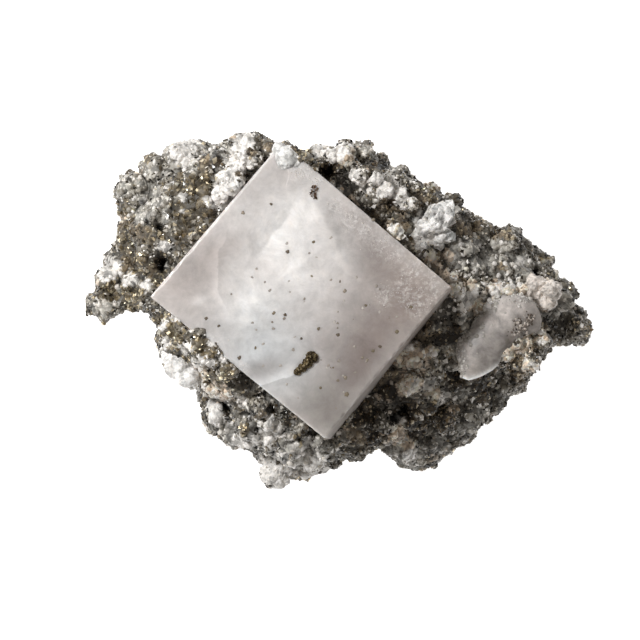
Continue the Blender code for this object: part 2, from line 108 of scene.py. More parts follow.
CRAG_SIZES = ((6.5, 2.6), (2.9, 0.9), (1.35, 0.5))     # cell and height, coarse to fine
KNOBS = (                      # x, y, z and radius of the lobes and balls that stand out of it
    (-47.2, 0.5, 8.0, 3.7), (-45.8, 6.4, 10.0, 2.6), (-40.5, 23.9, 12.5, 3.1),
    (-35.6, 27.6, 13.0, 2.6), (-30.9, 30.2, 16.0, 3.2), (-29.6, 31.7, 13.5, 2.2),
    (-18.1, 31.9, 21.5, 3.3), (-20.2, 27.6, 26.2, 2.7), (-15.3, 31.9, 20.0, 2.3),
    (-1.5, 29.8, 19.5, 2.1), (1.6, 30.6, 19.0, 2.1), (4.5, 31.0, 17.0, 2.2), (4.4, 26.0, 22.4, 2.2),
    (8.2, 22.8, 21.4, 2.2), (11.3, 25.3, 19.4, 2.3), (11.9, 21.6, 19.8, 2.4),
    (28.2, 15.3, 13.5, 2.8), (33.6, 13.2, 13.5, 2.4), (44.8, 1.8, 12.0, 2.0),
    (48.3, -3.8, 10.0, 2.9), (37.9, -9.4, 20.0, 2.9), (40.2, -6.0, 19.6, 2.2),
    (36.0, -12.0, 16.0, 2.2), (15.0, -10.2, 22.4, 2.2), (12.4, -8.9, 22.2, 1.7),
    (14.6, -14.6, 21.2, 2.4), (18.2, -8.2, 21.8, 1.4), (18.8, -17.6, 18.0, 2.2),
    (13.4, -27.4, 12.5, 2.7), (21.0, -22.2, 14.0, 2.7), (-4.9, -29.3, 15.5, 2.9),
    (-12.1, -32.6, 10.5, 3.4), (-9.6, -28.2, 18.6, 2.7), (-15.4, -19.4, 26.0, 2.1),
    (-13.8, -21.8, 25.0, 1.9), (-23.3, -20.3, 13.0, 3.0), (-20.0, -24.4, 14.5, 2.9),
    (-33.6, -5.6, 16.0, 2.3), (24.0, -1.0, 22.8, 1.9), (27.3, 3.6, 21.2, 2.2),
)
CRUST = (                      # the druse that has climbed to the cube's lower left edge
    (-32.6, -3.6, 29.6, 2.5), (-30.3, -4.7, 30.7, 2.9), (-27.2, -6.1, 31.5, 2.8),
    (-24.4, -8.7, 31.7, 2.8), (-21.6, -11.5, 31.7, 2.4),
)
LOBE_SHARE = 0.85              # of a lobe's radius that the skin swells to, inside the lobe itself
DRUSE_COUNT, DRUSE_RADIUS = 190, (1.2, 2.5)
DRUSE_SINK = 0.45              # how deep a lump of druse is let in, in radii
DRUSE_ABOVE = 0.8              # share of the lumps that lie above the widest line
DRUSE_INNER = 0.2              # where they start over the widest line, a squared share of the rim
DRUSE_UNDER = 0.93             # and below it, a plain share of the rim
VUGS = (                       # x, y, radius and depth of the open holes
    (-37.6, 16.9, 0.6, 2.0), (-35.0, 16.0, 0.9, 2.5), (-34.5, 9.0, 1.3, 4.0),
    (-43.5, 5.5, 0.8, 2.5), (-40.0, 12.5, 0.6, 2.0), (-39.0, 21.5, 0.7, 2.0),
    (17.5, 19.0, 0.7, 2.0), (19.5, 14.5, 0.6, 2.0), (39.5, 7.5, 0.9, 2.5), (-2.0, 27.5, 1.15, 2.5),
    (9.0, 28.6, 1.1, 2.5), (13.0, -20.0, 1.4, 4.0), (11.0, -21.5, 1.1, 3.0),
    (-22.0, -19.5, 1.2, 3.5), (-21.5, -22.0, 0.7, 2.5), (-16.6, -20.2, 0.8, 3.0),
    (-12.9, -28.4, 0.7, 2.5), (-16.0, -23.6, 0.6, 2.0), (-6.5, -24.0, 0.7, 2.5),
    (42.0, -5.0, 0.9, 2.5), (-10.5, -29.5, 0.8, 2.0), (26.0, -11.5, 0.9, 2.0),
    (-13.5, -19.5, 0.8, 2.5),
)
VUG_SHADE = 0.93                # painted shade: how much darker the rock is coloured down in them
AROUND, DOWN = 480, 198        # columns and rows of the skin
TOP_ROWS = 140                 # of which from the pole to the widest line
ROW_CROWD = 1.75               # how much closer the rows lie towards the rim
RIM_FINE = 20                  # steps along the rim for each column, to space the columns evenly
HASH_WAY, HASH_SALT, HASH_SCALE = (12.9898, 78.233, 37.719), 17.17, 43758.5453


def hashed(cells, salt):
    """A fixed number from 0 to 1 for each row of whole numbers: the tail of a large sine."""
    mixed = cells @ np.array(HASH_WAY) + salt * HASH_SALT
    return np.modf(np.abs(np.sin(mixed) * HASH_SCALE))[0]


def crags(points, cell):
    """Rounded lumps: 1 less the squared distance to the nearest cell's middle, and at least 0."""
    scaled = points / cell
    home = np.floor(scaled)
    nearest = np.full(len(points), np.inf)
    for step in np.ndindex(3, 3, 3):
        corner = home + np.array(step) - 1.0
        jitter = np.stack([hashed(corner, salt) for salt in range(3)], axis=1)
        nearest = np.minimum(nearest, ((corner + jitter - scaled) ** 2).sum(axis=1))
    return 1.0 - np.minimum(nearest, 1.0)


def drift(points, cell, salt):
    """Smooth noise from 0 to 1: fixed numbers at the corners of cells, blended by a smoothstep."""
    scaled = points / cell
    home = np.floor(scaled)
    part = scaled - home
    part = part * part * (3.0 - 2.0 * part)
    total = np.zeros(len(points))
    for step in np.ndindex(2, 2, 2):
        weight = np.prod(np.where(np.array(step) == 1, part, 1.0 - part), axis=1)
        total += weight * hashed(home + np.array(step), salt)
    return total


def away_from(points, x, y, radius):
    """The squared distance of each point from a place, seen from above and in radii."""
    return ((points[:, 0] - x) ** 2 + (points[:, 1] - y) ** 2) / radius ** 2


def unit(ways):
    """Rows of vectors, each brought to a length of 1."""
    return ways / np.linalg.norm(ways, axis=1)[:, None]


def swell(points, slope, balls):
    """How far each point must go along its slope to leave the last of the balls that it lies in.

    A ray from a point in a ball leaves it after b + sqrt(b² + r² - d²), where b is the slope's
    share of the way to the ball's centre and d the distance to it. Points in no ball get 0.
    """
    push = np.zeros(len(points))
    for *centre, radius in balls:
        way = np.array(centre) - points
        along = (way * slope).sum(axis=1)
        inside = radius ** 2 - (way ** 2).sum(axis=1)
        leave = along + np.sqrt(np.maximum(along ** 2 + inside, 0.0))
        push = np.maximum(push, np.where(inside > 0.0, leave, 0.0))
    return push


def rim_radius(angle, rim, centre):
    """Distance from the centre to a rim of points, at each angle."""
    reach = np.array(rim) - centre
    turn = np.arctan2(reach[:, 1], reach[:, 0])
    order = np.argsort(turn)
    return np.interp(angle, turn[order], np.hypot(*reach.T)[order], period=2 * math.pi)


def rock_height(x, y):
    """Height of the rock's top: the levels, weighted by nearness."""
    level = np.array(LEVELS)
    squared = (x[:, None] - level[:, 0]) ** 2 + (y[:, None] - level[:, 1]) ** 2
    weight = 1.0 / (squared + LEVEL_NEAR) ** LEVEL_POWER
    return (weight * level[:, 2]).sum(axis=1) / weight.sum(axis=1)


def rock_form(angle, share, above):
    """The bare form of the rock and its slope, at an angle and a share of the rim's distance.

    The top follows the levels and rolls over the rim as a superellipse; the underside does the
    same more roundly and ends flat. Crags push the whole out and in along its slope.
    """
    sharp = rim_radius(angle, RIM, HEART)
    turns = np.linspace(-RIM_BLUR, RIM_BLUR, BLUR_STEPS)
    soft = np.mean([rim_radius(angle + turn, RIM, HEART) for turn in turns], axis=0)
    reach = share * (soft + (sharp - soft) * share ** RIM_KEEN)
    x = HEART[0] + reach * np.cos(angle)
    y = HEART[1] + reach * np.sin(angle)
    height = rock_height(x, y)
    widest = RIM_SHARE * height
    roll = np.sqrt(1.0 - share ** TOP_POWER)
    tuck = np.minimum(BASE_CUT * np.sqrt(1.0 - share ** BASE_POWER), 1.0)
    z = np.where(above, widest + (height - widest) * roll, widest * (1.0 - tuck))
    lean = share ** LEAN_POWER
    up = np.where(above, roll, -tuck)
    slope = unit(np.stack([np.cos(angle) * lean, np.sin(angle) * lean, up], axis=1))
    points = np.stack([x, y, z], axis=1)
    cell, tall = CRAG_SIZES[0]
    fade = np.where(above, 1.0, 1.0 - tuck)
    points += slope * (tall * (crags(points, cell) - CRAG_MIDDLE) * fade)[:, None]
    return points, slope, fade


def druse_balls():
    """The centre and radius of the small lumps: strewn evenly over the rock and let into it."""
    random = np.random.default_rng(SEED)
    angle = random.uniform(-math.pi, math.pi, DRUSE_COUNT)
    share = np.sqrt(random.uniform(DRUSE_INNER, 1.0, DRUSE_COUNT))
    above = random.uniform(0.0, 1.0, DRUSE_COUNT) < DRUSE_ABOVE
    share = np.where(above, share, DRUSE_UNDER + (1.0 - DRUSE_UNDER) * share)
    radius = random.uniform(*DRUSE_RADIUS, DRUSE_COUNT)
    points = rock_form(angle, share, above)[0]
    inward = unit(np.array(CORE) - points)
    return np.column_stack([points + inward * (radius * DRUSE_SINK)[:, None], radius])


def rock_skin(angle, share, above):
    """The whole skin: the form, swollen by its lobes and druse, with fine crags and open vugs."""
    points, slope, fade = rock_form(angle, share, above)
    lobes = np.array([*KNOBS, *CRUST]) * (1.0, 1.0, 1.0, LOBE_SHARE)
    points += slope * swell(points, slope, [*lobes, *druse_balls()])[:, None]
    for cell, tall in CRAG_SIZES[1:]:
        points += slope * (tall * (crags(points, cell) - CRAG_MIDDLE) * fade)[:, None]
    for x, y, radius, deep in VUGS:
        hole = np.exp(-away_from(points, x, y, radius) ** 2)
        points[:, 2] -= np.where(above, deep * hole, 0.0)
    return points


def in_box(points):
    """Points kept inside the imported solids' box."""
    low, high = np.array(CAD_BOX) / MM
    return np.clip(points, low, high)


def grid_mesh(name, points):
    """A closed skin from rows of points that run round it, with one point at each pole.

    points is rows × columns × 3 in millimetres, from the top pole's row to the bottom pole's.
    """
    rows, columns = points.shape[:2]
    corners = np.vstack([points[0, :1], points[1:-1].reshape(-1, 3), points[-1:, 0]])
    first = 1 + np.arange(rows - 3)[:, None] * columns + np.arange(columns)
    after = 1 + np.arange(rows - 3)[:, None] * columns + (np.arange(columns) + 1) % columns
    quads = np.stack([first, first + columns, after + columns, after], axis=2).reshape(-1, 4)
    ring = 1 + np.arange(columns)
    turned = 1 + (np.arange(columns) + 1) % columns
    last = (rows - 3) * columns
    top = np.stack([np.zeros(columns, int), ring, turned], axis=1)
    foot = np.stack([np.full(columns, len(corners) - 1), turned + last, ring + last], axis=1)
    mesh = bpy.data.meshes.new(name)
    mesh.from_pydata(corners * MM, [], [*top.tolist(), *quads.tolist(), *foot.tolist()])
    mesh.validate()
    return mesh


def place(name, mesh, material, slot, *nodes, smooth=True):
    """An object for a mesh, with its finish, its body and the solids it stands for. The slot is not
    used.
    """
    mesh.polygons.foreach_set("use_smooth", np.full(len(mesh.polygons), smooth))
    mesh.materials.append(material)
    obj = bpy.data.objects.new(name, mesh)
    bpy.context.scene.collection.objects.link(obj)
    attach(obj, "root")
    if nodes:
        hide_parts(*nodes)


def mesh_points(mesh):
    """The corner points of a mesh, in millimetres."""
    found = np.empty(len(mesh.vertices) * 3)
    mesh.vertices.foreach_get("co", found)
    return found.reshape(-1, 3) / MM


def tint(mesh, colours, frost=1.0):
    """Store one linear colour for each corner point, and how frosted it is, for the material."""
    layer = mesh.color_attributes.new("tint", "FLOAT_COLOR", "POINT")
    filled = np.column_stack([colours, np.broadcast_to(frost, len(colours))])
    layer.data.foreach_set("color", filled.ravel())


def linear(code):
    """An sRGB hex colour as linear red, green and blue."""
    part = np.array([int(code[at:at + 2], 16) for at in (1, 3, 5)]) / 255
    return np.where(part <= 0.04045, part / 12.92, ((part + 0.055) / 1.055) ** 2.4)


def linear_table(codes):
    """A row of linear red, green and blue for each hex colour."""
    return np.array([linear(code) for code in codes])


def add_node(tree, kind, values=None, links=None, **settings):
    """Add a shader node: settings are its own, values and links go to its input sockets."""
    made = tree.nodes.new(kind)
    for key, value in settings.items():
        setattr(made, key, value)
    for key, value in (values or {}).items():
        made.inputs[key].default_value = value
    for key, output in (links or {}).items():
        tree.links.new(output, made.inputs[key])
    return made


def new_material(name, **values):
    """A material with its node tree and its Principled shader, whose sockets get the values."""
    material = bpy.data.materials.new(name)
    material.use_nodes = True
    shader = material.node_tree.nodes["Principled BSDF"]
    for key, value in values.items():
        shader.inputs[key.replace("_", " ")].default_value = value
    return material, material.node_tree, shader


def tinted_material(name, **values):
    """The same, with a node for the meshes' tint and the coordinates that its noises lie in."""
    material, tree, shader = new_material(name, **values)
    tinted = add_node(tree, "ShaderNodeVertexColor", layer_name="tint")
    here = add_node(tree, "ShaderNodeTexCoord").outputs["Object"]
    return material, tree, shader, tinted, here


def roughened(tree, here, noise, strength, height, under=None):
    """The normals of a skin that a noise raises and lowers, on top of another bump if it has one.

    The noise's scale is its cell in millimetres, and so is the height.
    """
    cells = {**noise, "Scale": 1 / (noise["Scale"] * MM)}
    grit = add_node(tree, "ShaderNodeTexNoise", cells, {"Vector": here})
    links = {"Height": grit.outputs["Fac"]}
    if under:
        links["Normal"] = under.outputs["Normal"]
    return add_node(tree, "ShaderNodeBump", {"Strength": strength, "Distance": height * MM}, links)


def finish_skin(tree, shader, colour, bump):
    """Give the shader its colour and its normals."""
    tree.links.new(colour, shader.inputs["Base Color"])
    tree.links.new(bump.outputs["Normal"], shader.inputs["Normal"])


# What grows where. Each patch is x, y and radius; the rest of the rock is grey quartz.
PATCHES = {
    "pyrite": (
        (-45.5, 3.5, 2.2), (-40.5, 2.0, 3.0), (-43.0, 20.0, 1.8), (-43.0, 13.5, 3.0),
        (-39.0, 9.5, 3.2), (-36.5, 13.5, 2.8), (-29.5, 19.0, 4.6), (-27.0, 23.5, 3.2),
        (-31.5, 14.5, 3.0), (-31.5, 24.0, 2.4), (-6.0, 30.5, 1.6), (18.5, 23.0, 1.6),
        (-31.0, -5.0, 3.2), (-32.0, -8.0, 2.4), (-26.5, -8.0, 3.0), (-25.0, -12.5, 2.2),
        (-22.0, -13.0, 1.6), (-19.0, -23.5, 1.6), (-7.5, -25.5, 1.8), (-35.0, -2.0, 1.8),
        (-35.5, 6.0, 2.0),
    ),
    "brown": (
        (-13.5, 32.0, 1.6), (-15.0, 33.2, 1.0), (38.0, -7.0, 1.7), (35.6, -9.6, 1.4),
        (-16.8, 30.6, 1.0), (-19.4, 26.2, 0.7), (22.8, 20.0, 1.3), (9.9, 19.8, 1.3),
        (27.0, 17.0, 2.6), (32.5, 15.8, 2.2), (33.0, 8.0, 1.4), (8.0, 17.6, 3.0), (12.5, 17.5, 1.8),
        (20.0, 9.0, 2.6), (16.0, 21.5, 2.0), (-8.0, 31.0, 2.2), (-40.0, 16.0, 2.4),
        (-37.5, 8.0, 2.4), (10.0, 21.0, 1.2), (-42.0, 9.0, 2.0), (24.0, 5.5, 1.6),
        (9.5, -14.0, 2.4), (17.0, -5.0, 2.0), (22.5, -9.0, 1.6), (4.0, -25.5, 2.0),
        (-14.5, -21.0, 1.6), (-10.9, 32.2, 2.0), (36.0, -13.0, 1.8), (-25.0, 29.0, 1.8),
    ),
    "pale": (
        (30.0, 11.0, 3.2), (35.5, 9.5, 2.8), (-33.5, -13.0, 1.2), (-44.0, 4.6, 1.0),
        (34.0, 10.5, 2.2), (29.0, 13.5, 2.0), (24.0, 12.8, 1.8), (28.5, 9.0, 2.6), (32.5, 6.5, 1.8),
        (24.0, 9.5, 1.5), (-24.0, -23.0, 1.8), (-10.0, -26.5, 1.6), (22.6, -8.0, 2.2),
        (23.0, -11.0, 1.4), (25.0, -3.4, 1.4), (39.0, 6.6, 1.4),
        (-14.0, -17.5, 1.6), (-9.5, -23.8, 1.6), (-4.5, -27.5, 1.8), (33.5, -17.5, 1.6),
        (26.5, -23.5, 2.0), (29.5, -20.5, 1.4), (20.5, -26.5, 1.8), (-33.0, 28.5, 2.4),
        (-29.0, 27.5, 1.8), (-24.0, 30.5, 1.8), (-33.5, 17.5, 1.4), (-36.0, 22.5, 2.0),
        (15.5, -29.5, 2.6), (11.5, -28.0, 2.0), (-39.0, 23.0, 2.8), (-38.0, 19.0, 2.4),
        (-37.0, 28.0, 2.0), (-43.0, 24.0, 2.0), (-46.0, 1.0, 2.4), (-34.5, 21.0, 1.6),
        (10.5, 29.0, 1.8), (6.5, 31.5, 1.8), (26.0, 13.0, 2.4), (31.0, 12.0, 2.4), (37.0, 8.5, 2.2),
        (45.0, 2.0, 2.4), (20.0, -20.0, 1.8), (15.0, -21.0, 1.6), (-21.5, -24.0, 2.4),
        (-17.0, -22.0, 1.8), (24.5, -17.0, 1.6), (-8.0, -31.0, 2.0),
    ),
    "white": (
        (-31.5, -1.6, 0.9), (-28.4, -3.9, 0.6), (-24.6, -6.6, 0.6), (-22.2, -9.6, 0.7),
        (-23.5, -17.5, 0.9), (-19.0, -18.0, 0.9), (-16.5, -25.5, 1.2), (-6.0, -26.0, 1.1),
        (-29.5, -7.5, 1.5), (-27.0, -9.8, 1.6), (-33.5, -6.5, 1.2), (-24.5, -10.5, 1.0),
        (31.5, 4.2, 1.4), (34.5, 4.6, 1.1), (18.6, 16.5, 3.2), (14.5, -29.0, 1.2),
        (12.6, -21.8, 0.8), (-30.8, 31.0, 2.4), (-28.5, 32.5, 1.8), (-34.0, 12.5, 1.0),
        (-38.5, 21.5, 1.0), (-30.5, 22.0, 0.9), (-30.5, 19.5, 0.7), (-41.5, 6.0, 1.4),
        (-38.0, 5.0, 1.3), (-45.5, 8.0, 1.8), (-21.5, 24.0, 3.2), (-18.3, 32.7, 1.9),
        (-19.0, 28.6, 2.5), (7.5, 25.2, 1.4), (14.5, 21.0, 1.4), (-3.5, 31.5, 1.8),
        (-0.5, 31.0, 2.2), (3.0, 26.5, 1.2), (5.5, 24.5, 1.5), (10.0, 24.0, 2.4), (36.5, 10.0, 1.2),
        (18.0, -15.0, 1.4), (21.5, -17.3, 1.0), (15.0, -29.5, 1.4), (-30.5, -13.5, 3.0),
        (-24.0, -20.5, 2.3), (-13.5, -23.5, 2.4), (-12.0, -32.5, 3.4), (-5.5, -30.0, 3.2),
        (-34.0, -3.0, 1.2), (-19.5, -26.5, 2.0), (12.5, 22.0, 2.0), (26.0, 2.5, 1.6),
        (-9.0, -27.0, 1.6),
    ),
    "pink": (
        (18.5, 9.8, 1.6), (21.2, 6.6, 1.6), (10.9, 15.3, 1.3), (21.6, 10.6, 1.0), (40.2, 3.6, 2.8),
        (-26.5, -12.0, 1.5), (1.5, 30.0, 1.6), (31.0, 4.6, 1.8), (34.5, 4.0, 1.4), (26.0, 4.5, 1.4),
        (27.5, 0.5, 1.8), (33.5, -8.0, 2.0), (36.5, -7.0, 2.4), (41.0, -5.5, 1.2),
        (14.8, -10.0, 2.2), (14.6, -14.4, 2.4), (12.3, -8.9, 1.7), (18.0, -8.3, 1.3),
        (12.5, -25.5, 2.0), (-23.0, -16.0, 2.2), (22.5, 4.0, 1.4), (9.0, -16.0, 1.4),
        (37.5, -11.0, 1.6), (18.6, -16.8, 1.6), (23.0, -19.5, 1.2),
    ),
    # dark rock; the patches along the cube's lower left and lower right edges are in part painted
    # shadow
    "dark": (
        (-24.0, 29.5, 1.8), (-12.0, 33.0, 1.6), (8.5, 29.0, 1.6), (-1.5, 27.0, 2.0),
        (9.5, -16.0, 1.8), (16.0, -2.0, 2.8), (13.0, -20.0, 2.0), (26.0, -12.0, 2.6),
        (-13.0, -19.5, 1.0), (-9.5, -22.0, 1.0), (-22.0, -19.5, 1.4), (-35.0, 9.5, 1.4),
        (22.0, -5.0, 2.0), (6.0, -20.0, 2.2), (15.0, -22.0, 2.8), (21.5, -21.0, 2.2),
        (24.0, -14.0, 2.2), (29.0, -15.5, 2.0), (6.5, -25.5, 1.6), (18.5, -19.5, 1.4),
        (12.5, -3.5, 1.6),
    ),
}
QUARTZ_SHARE = 0.34            # how strongly plain quartz holds its own against the patches
PATCH_FLOOR, PATCH_FADE = 0.02, 0.7    # a mineral's least strength, and how soon a patch fades out
MINGLE, SKIN_MINGLE = 0.10, 0.05       # how far the minerals mingle by chance: grains and bare rock
MARBLING = ((3.0, 0.5), (1.3, 0.35), (0.8, 0.4))       # and in veins: cell and strength of each
VEIN_SALT, FLANK_SALT = 10, 30         # so that each mineral's veins are its own
FLANK, FLANK_CELL = (0.3, 0.75), 6.0   # shares of the height over which the flank turns to top
FLANK_VEINS = {"pyrite": 0.7, "brown": 0.6, "pale": 0.8, "white": 0.9, "pink": 0.6, "dark": 0.5}
HOLD = {"pyrite": 0.72, "brown": 0.7, "pale": 0.72, "white": 1.0, "pink": 0.85, "dark": 0.95}
MINERALS = ("quartz", *PATCHES)
CREASES = ((2.9, 0.3), (1.35, 0.35), (0.8, 0.35))      # cell of each size of lump, and its share
CREASE_FROM, CREASE_OVER = 0.35, 0.45  # where a crease ends, and over how much it turns to lump
CREASE_SHADE, TOP_HIGHLIGHT = 0.3, 1.45     # painted shade in a crease and painted highlight on a lump: what is left of the colour there
GAP_SHADE, LUMP_HIGHLIGHT = 0.62, 1.15      # painted shade between the lumps and painted highlight on them, as factors for the colours
WHITEST = "#efebe6"            # of fresh calcite: no lump or grain is whiter
SKIN_COLOURS = {               # of the rock between the grains
    "quartz": "#68635a", "pyrite": "#5c5446", "brown": "#6d6150", "pale": "#96938c",
    "white": "#e8e4de", "pink": "#dccbb8", "dark": "#342b1e",
}


def minerals(points, random, mingle):
    """Which mineral grows at each point: the nearest patch wins, with veins and chance mixed in.

    The patches belong to the top. Down the flanks they fade out and give way to wider veins.
    """
    strength = np.full((len(points), len(MINERALS)), QUARTZ_SHARE)
    high = points[:, 2] / rock_height(points[:, 0], points[:, 1])
    top = np.clip((high - FLANK[0]) / (FLANK[1] - FLANK[0]), 0.0, 1.0)
    for column, (name, patches) in enumerate(PATCHES.items(), start=1):
        strength[:, column] = PATCH_FLOOR
        for patch in patches:
            grown = HOLD[name] * top * np.exp(-PATCH_FADE * away_from(points, *patch))
            strength[:, column] = np.maximum(strength[:, column], grown)
        wide = drift(points, FLANK_CELL, FLANK_SALT + column) ** 2
        strength[:, column] += FLANK_VEINS[name] * (1.0 - top) * wide
    for column in range(len(MINERALS)):
        for cell, much in MARBLING:
            strength[:, column] += much * (drift(points, cell, VEIN_SALT + column) - 0.5)
    return np.argmax(strength + mingle * random.normal(size=strength.shape), axis=1)


def mineral_colours(kind, table):
    """The linear colour of each point's mineral, from a table of hex colours."""
    return linear_table(table[name] for name in MINERALS)[kind]


def crease_shading(points):
    """Painted shade and highlight: a colour factor, dark down in the creases and vugs, light on
    lumps.
    """
    lump = sum(share * crags(points, cell) for cell, share in CREASES)
    lump = np.clip((lump - CREASE_FROM) / CREASE_OVER, 0.0, 1.0)
    shade = CREASE_SHADE + (TOP_HIGHLIGHT - CREASE_SHADE) * lump
    for x, y, radius, _ in VUGS:
        shade *= 1.0 - VUG_SHADE * np.exp(-away_from(points, x, y, radius) ** 2)
    return shade[:, None]


def skin_colours(points):
    """The colours of the rock: its minerals, with painted shade in the creases and vugs."""
    kind = minerals(points, np.random.default_rng(SEED), SKIN_MINGLE)
    return mineral_colours(kind, SKIN_COLOURS) * crease_shading(points)


def grown_rock(name):
    """Vertex-coloured vein rock: broken quartz, which is glassy in its chips and dull between.

    The colour comes from the tint. Cells of a real grain's size darken and lighten it and give
    the broken surface, and a finer grit roughens it.
    """
    material, tree, shader, tinted, here = tinted_material(name, Roughness=0.55, IOR=1.54)
    grain = add_node(tree, "ShaderNodeTexVoronoi", {"Scale": 1 / (0.9 * MM)}, {"Vector": here})
    patchy = add_node(tree, "ShaderNodeMapRange", {"To Min": 0.25, "To Max": 1.7},
                      {"Value": grain.outputs["Color"]})
    mixed = add_node(tree, "ShaderNodeMix", {"Factor": 1.0},
                     {"A": tinted.outputs["Color"], "B": patchy.outputs["Result"]},
                     data_type="RGBA", blend_type="MULTIPLY")
    cracks = add_node(tree, "ShaderNodeBump", {"Strength": 0.8, "Distance": 0.25 * MM},
                      {"Height": grain.outputs["Distance"]}, invert=True)
    rough = roughened(tree, here, {"Scale": 0.35, "Detail": 3.0}, strength=0.5, height=0.12,
                      under=cracks)
    finish_skin(tree, shader, mixed.outputs["Result"], rough)
    return material


part = np.linspace(0.0, 1.0, TOP_ROWS)
shares = 1.0 - (1.0 - part) ** ROW_CROWD
below = np.linspace(0.0, 1.0, DOWN - TOP_ROWS + 1)[1:]
shares = np.concatenate([shares, 1.0 - below ** ROW_CROWD])
# the columns stand at equal steps along the rim, so that its notches have as many as the rest
fine = np.linspace(-math.pi, math.pi, RIM_FINE * AROUND)
edge = rim_radius(fine, RIM, HEART)[:, None] * np.column_stack([np.cos(fine), np.sin(fine)])
along = np.concatenate([[0.0], np.cumsum(np.linalg.norm(np.diff(edge, axis=0), axis=1))])
turns = np.interp(np.arange(AROUND) / AROUND * along[-1], along, fine)
row, column = np.meshgrid(np.arange(DOWN), np.arange(AROUND), indexing="ij")
skin_points = rock_skin(turns[column].ravel(), shares[row].ravel(), (row < TOP_ROWS).ravel())

# The cube's top face: its left, top, right and low corner. It leans back to the left.
CUBE_CORNERS = ((-36.35, 2.45), (-10.85, 32.4), (21.55, 4.4), (-2.65, -24.75))
CUBE_HEIGHT, CUBE_TILT, CUBE_DEPTH = 34.0, math.radians(5.5), 24.0
POCKET_IN, POCKET_UNDER = 0.4, 0.5     # how far in from the cube's edge and how far under its foot
cube_middle = np.mean(CUBE_CORNERS, axis=0)
cube_way = np.subtract(CUBE_CORNERS[3], CUBE_CORNERS[0])
cube_way = cube_way / np.linalg.norm(cube_way)


def cube_top(x, y):
    """Height of the cube's top face over a point."""
    run = (x - cube_middle[0]) * cube_way[0] + (y - cube_middle[1]) * cube_way[1]
    return CUBE_HEIGHT + math.tan(CUBE_TILT) * run


def in_from_edge(points):
    """How far each point lies inside the cube's outline, seen from above: less than 0 outside."""
    x, y = points[:, 0], points[:, 1]
    depth = np.full(len(points), np.inf)
    for (ax, ay), (bx, by) in zip(CUBE_CORNERS, (*CUBE_CORNERS[1:], CUBE_CORNERS[0])):
        long = math.hypot(bx - ax, by - ay)
        depth = np.minimum(depth, ((x - ax) * (by - ay) - (y - ay) * (bx - ax)) / long)
    return depth


def under_top(points):
    """How far each point lies under the plane of the cube's top face."""
    return cube_top(points[:, 0], points[:, 1]) - points[:, 2]


def leave_pocket(points):
    """Let the skin down under the cube, so that the crystal has only its own substance in it."""
    depth = in_from_edge(points)
    foot = cube_top(points[:, 0], points[:, 1]) - CUBE_DEPTH / math.cos(CUBE_TILT)
    floor = foot - POCKET_UNDER
    deep = (depth > POCKET_IN) & (points[:, 2] > floor)
    points[:, 2] = np.where(deep, np.maximum(floor, 0.0), points[:, 2])
    return points


skin_points = in_box(leave_pocket(skin_points)).reshape(DOWN, AROUND, 3)
skin_mesh = grid_mesh("rock_skin", skin_points)
# the bare rock between the lobes and grains gets painted shade
tint(skin_mesh, skin_colours(mesh_points(skin_mesh)) * GAP_SHADE)
place("rock_skin", skin_mesh, grown_rock("vein quartz rock"), "matrix_rock", "matrix")

# ---- the lobes ----------------------------------------------------------------------------------
# Some of the druse stands out of the rock in lobes that overhang their foot: knobs of quartz, and
# white and cream lumps of calcite. Each is a lumpy ball, broken flat by a few planes, on the same
# middle as the swelling in the skin that carries it. Small nodules lie between them.
LOBE_AROUND, LOBE_DOWN = 60, 34
LOBE_LUMPS = ((2.6, 1.0), (1.25, 0.6), (0.6, 0.25))
NODULE_TRIES = 2.0             # points a square millimetre, before they are thinned
NODULE_CELL, NODULE_SHARE = 2.1, 0.72  # at most one nodule in a cell, and how many of these grew
NODULE_RADIUS, NODULE_SINK = (0.7, 1.7), 0.5
NODULE_LOWEST = 2.0            # height over the underside
FACES_UP, FLANK_SIZE = 0.4, 0.7        # those that face upwards less than this, and their size
NODULE_AROUND, NODULE_DOWN, NODULE_LUMPS = 10, 7, ((1.3, 0.6), (0.6, 0.3))
LENS_CRUST = (                 # x, y, z and radius of the cream lumps round the side crystal
    (33.4, -8.6, 21.4, 1.5), (35.4, -7.6, 21.0, 1.6), (34.8, -9.9, 20.0, 1.6),
    (37.2, -6.2, 21.2, 1.6), (38.4, -3.6, 21.6, 1.3), (32.2, -10.2, 21.2, 0.9),
    (37.0, -8.4, 20.2, 1.5), (39.4, -4.6, 20.6, 1.3), (23.0, -6.0, 19.6, 1.5),
    (22.4, -8.2, 19.4, 1.7), (22.8, -10.8, 19.0, 1.5), (25.0, -3.4, 20.0, 1.3),
    (26.8, -1.0, 20.2, 1.2), (21.4, -6.4, 19.2, 1.2), (30.6, 3.1, 20.6, 2.1),
    (33.6, 4.0, 20.2, 2.2), (28.4, 2.4, 20.6, 1.5), (36.4, 3.6, 20.0, 1.7), (26.4, 5.2, 20.6, 1.5),
    (28.6, 5.0, 20.2, 1.4), (32.9, -7.4, 22.4, 1.5), (34.7, -6.2, 22.6, 1.5),
    (31.6, -9.2, 22.2, 1.1), (36.6, -5.4, 22.2, 1.2),
)
WHITE_LUMPS = (                # x, y, z and radius of the white lumps on the cube's far sides
    (-18.2, 29.4, 28.8, 1.8), (-16.1, 28.9, 29.4, 1.7), (-17.1, 32.0, 24.0, 2.4),
    (-14.3, 31.6, 24.0, 1.9), (-20.4, 24.5, 30.6, 2.6), (-22.6, 22.4, 28.8, 1.7),
    (-19.6, 27.2, 28.6, 1.9), (-22.0, 25.6, 27.4, 1.6), (1.4, 30.0, 22.4, 1.7),
    (7.2, 25.6, 24.0, 1.5), (9.6, 23.2, 23.6, 1.9), (12.4, 22.4, 22.2, 1.7),
    (14.0, 20.6, 22.0, 1.5), (4.6, 26.4, 24.6, 1.4), (17.6, 23.0, 21.4, 1.1),
    (15.4, 24.4, 20.2, 1.2),
)
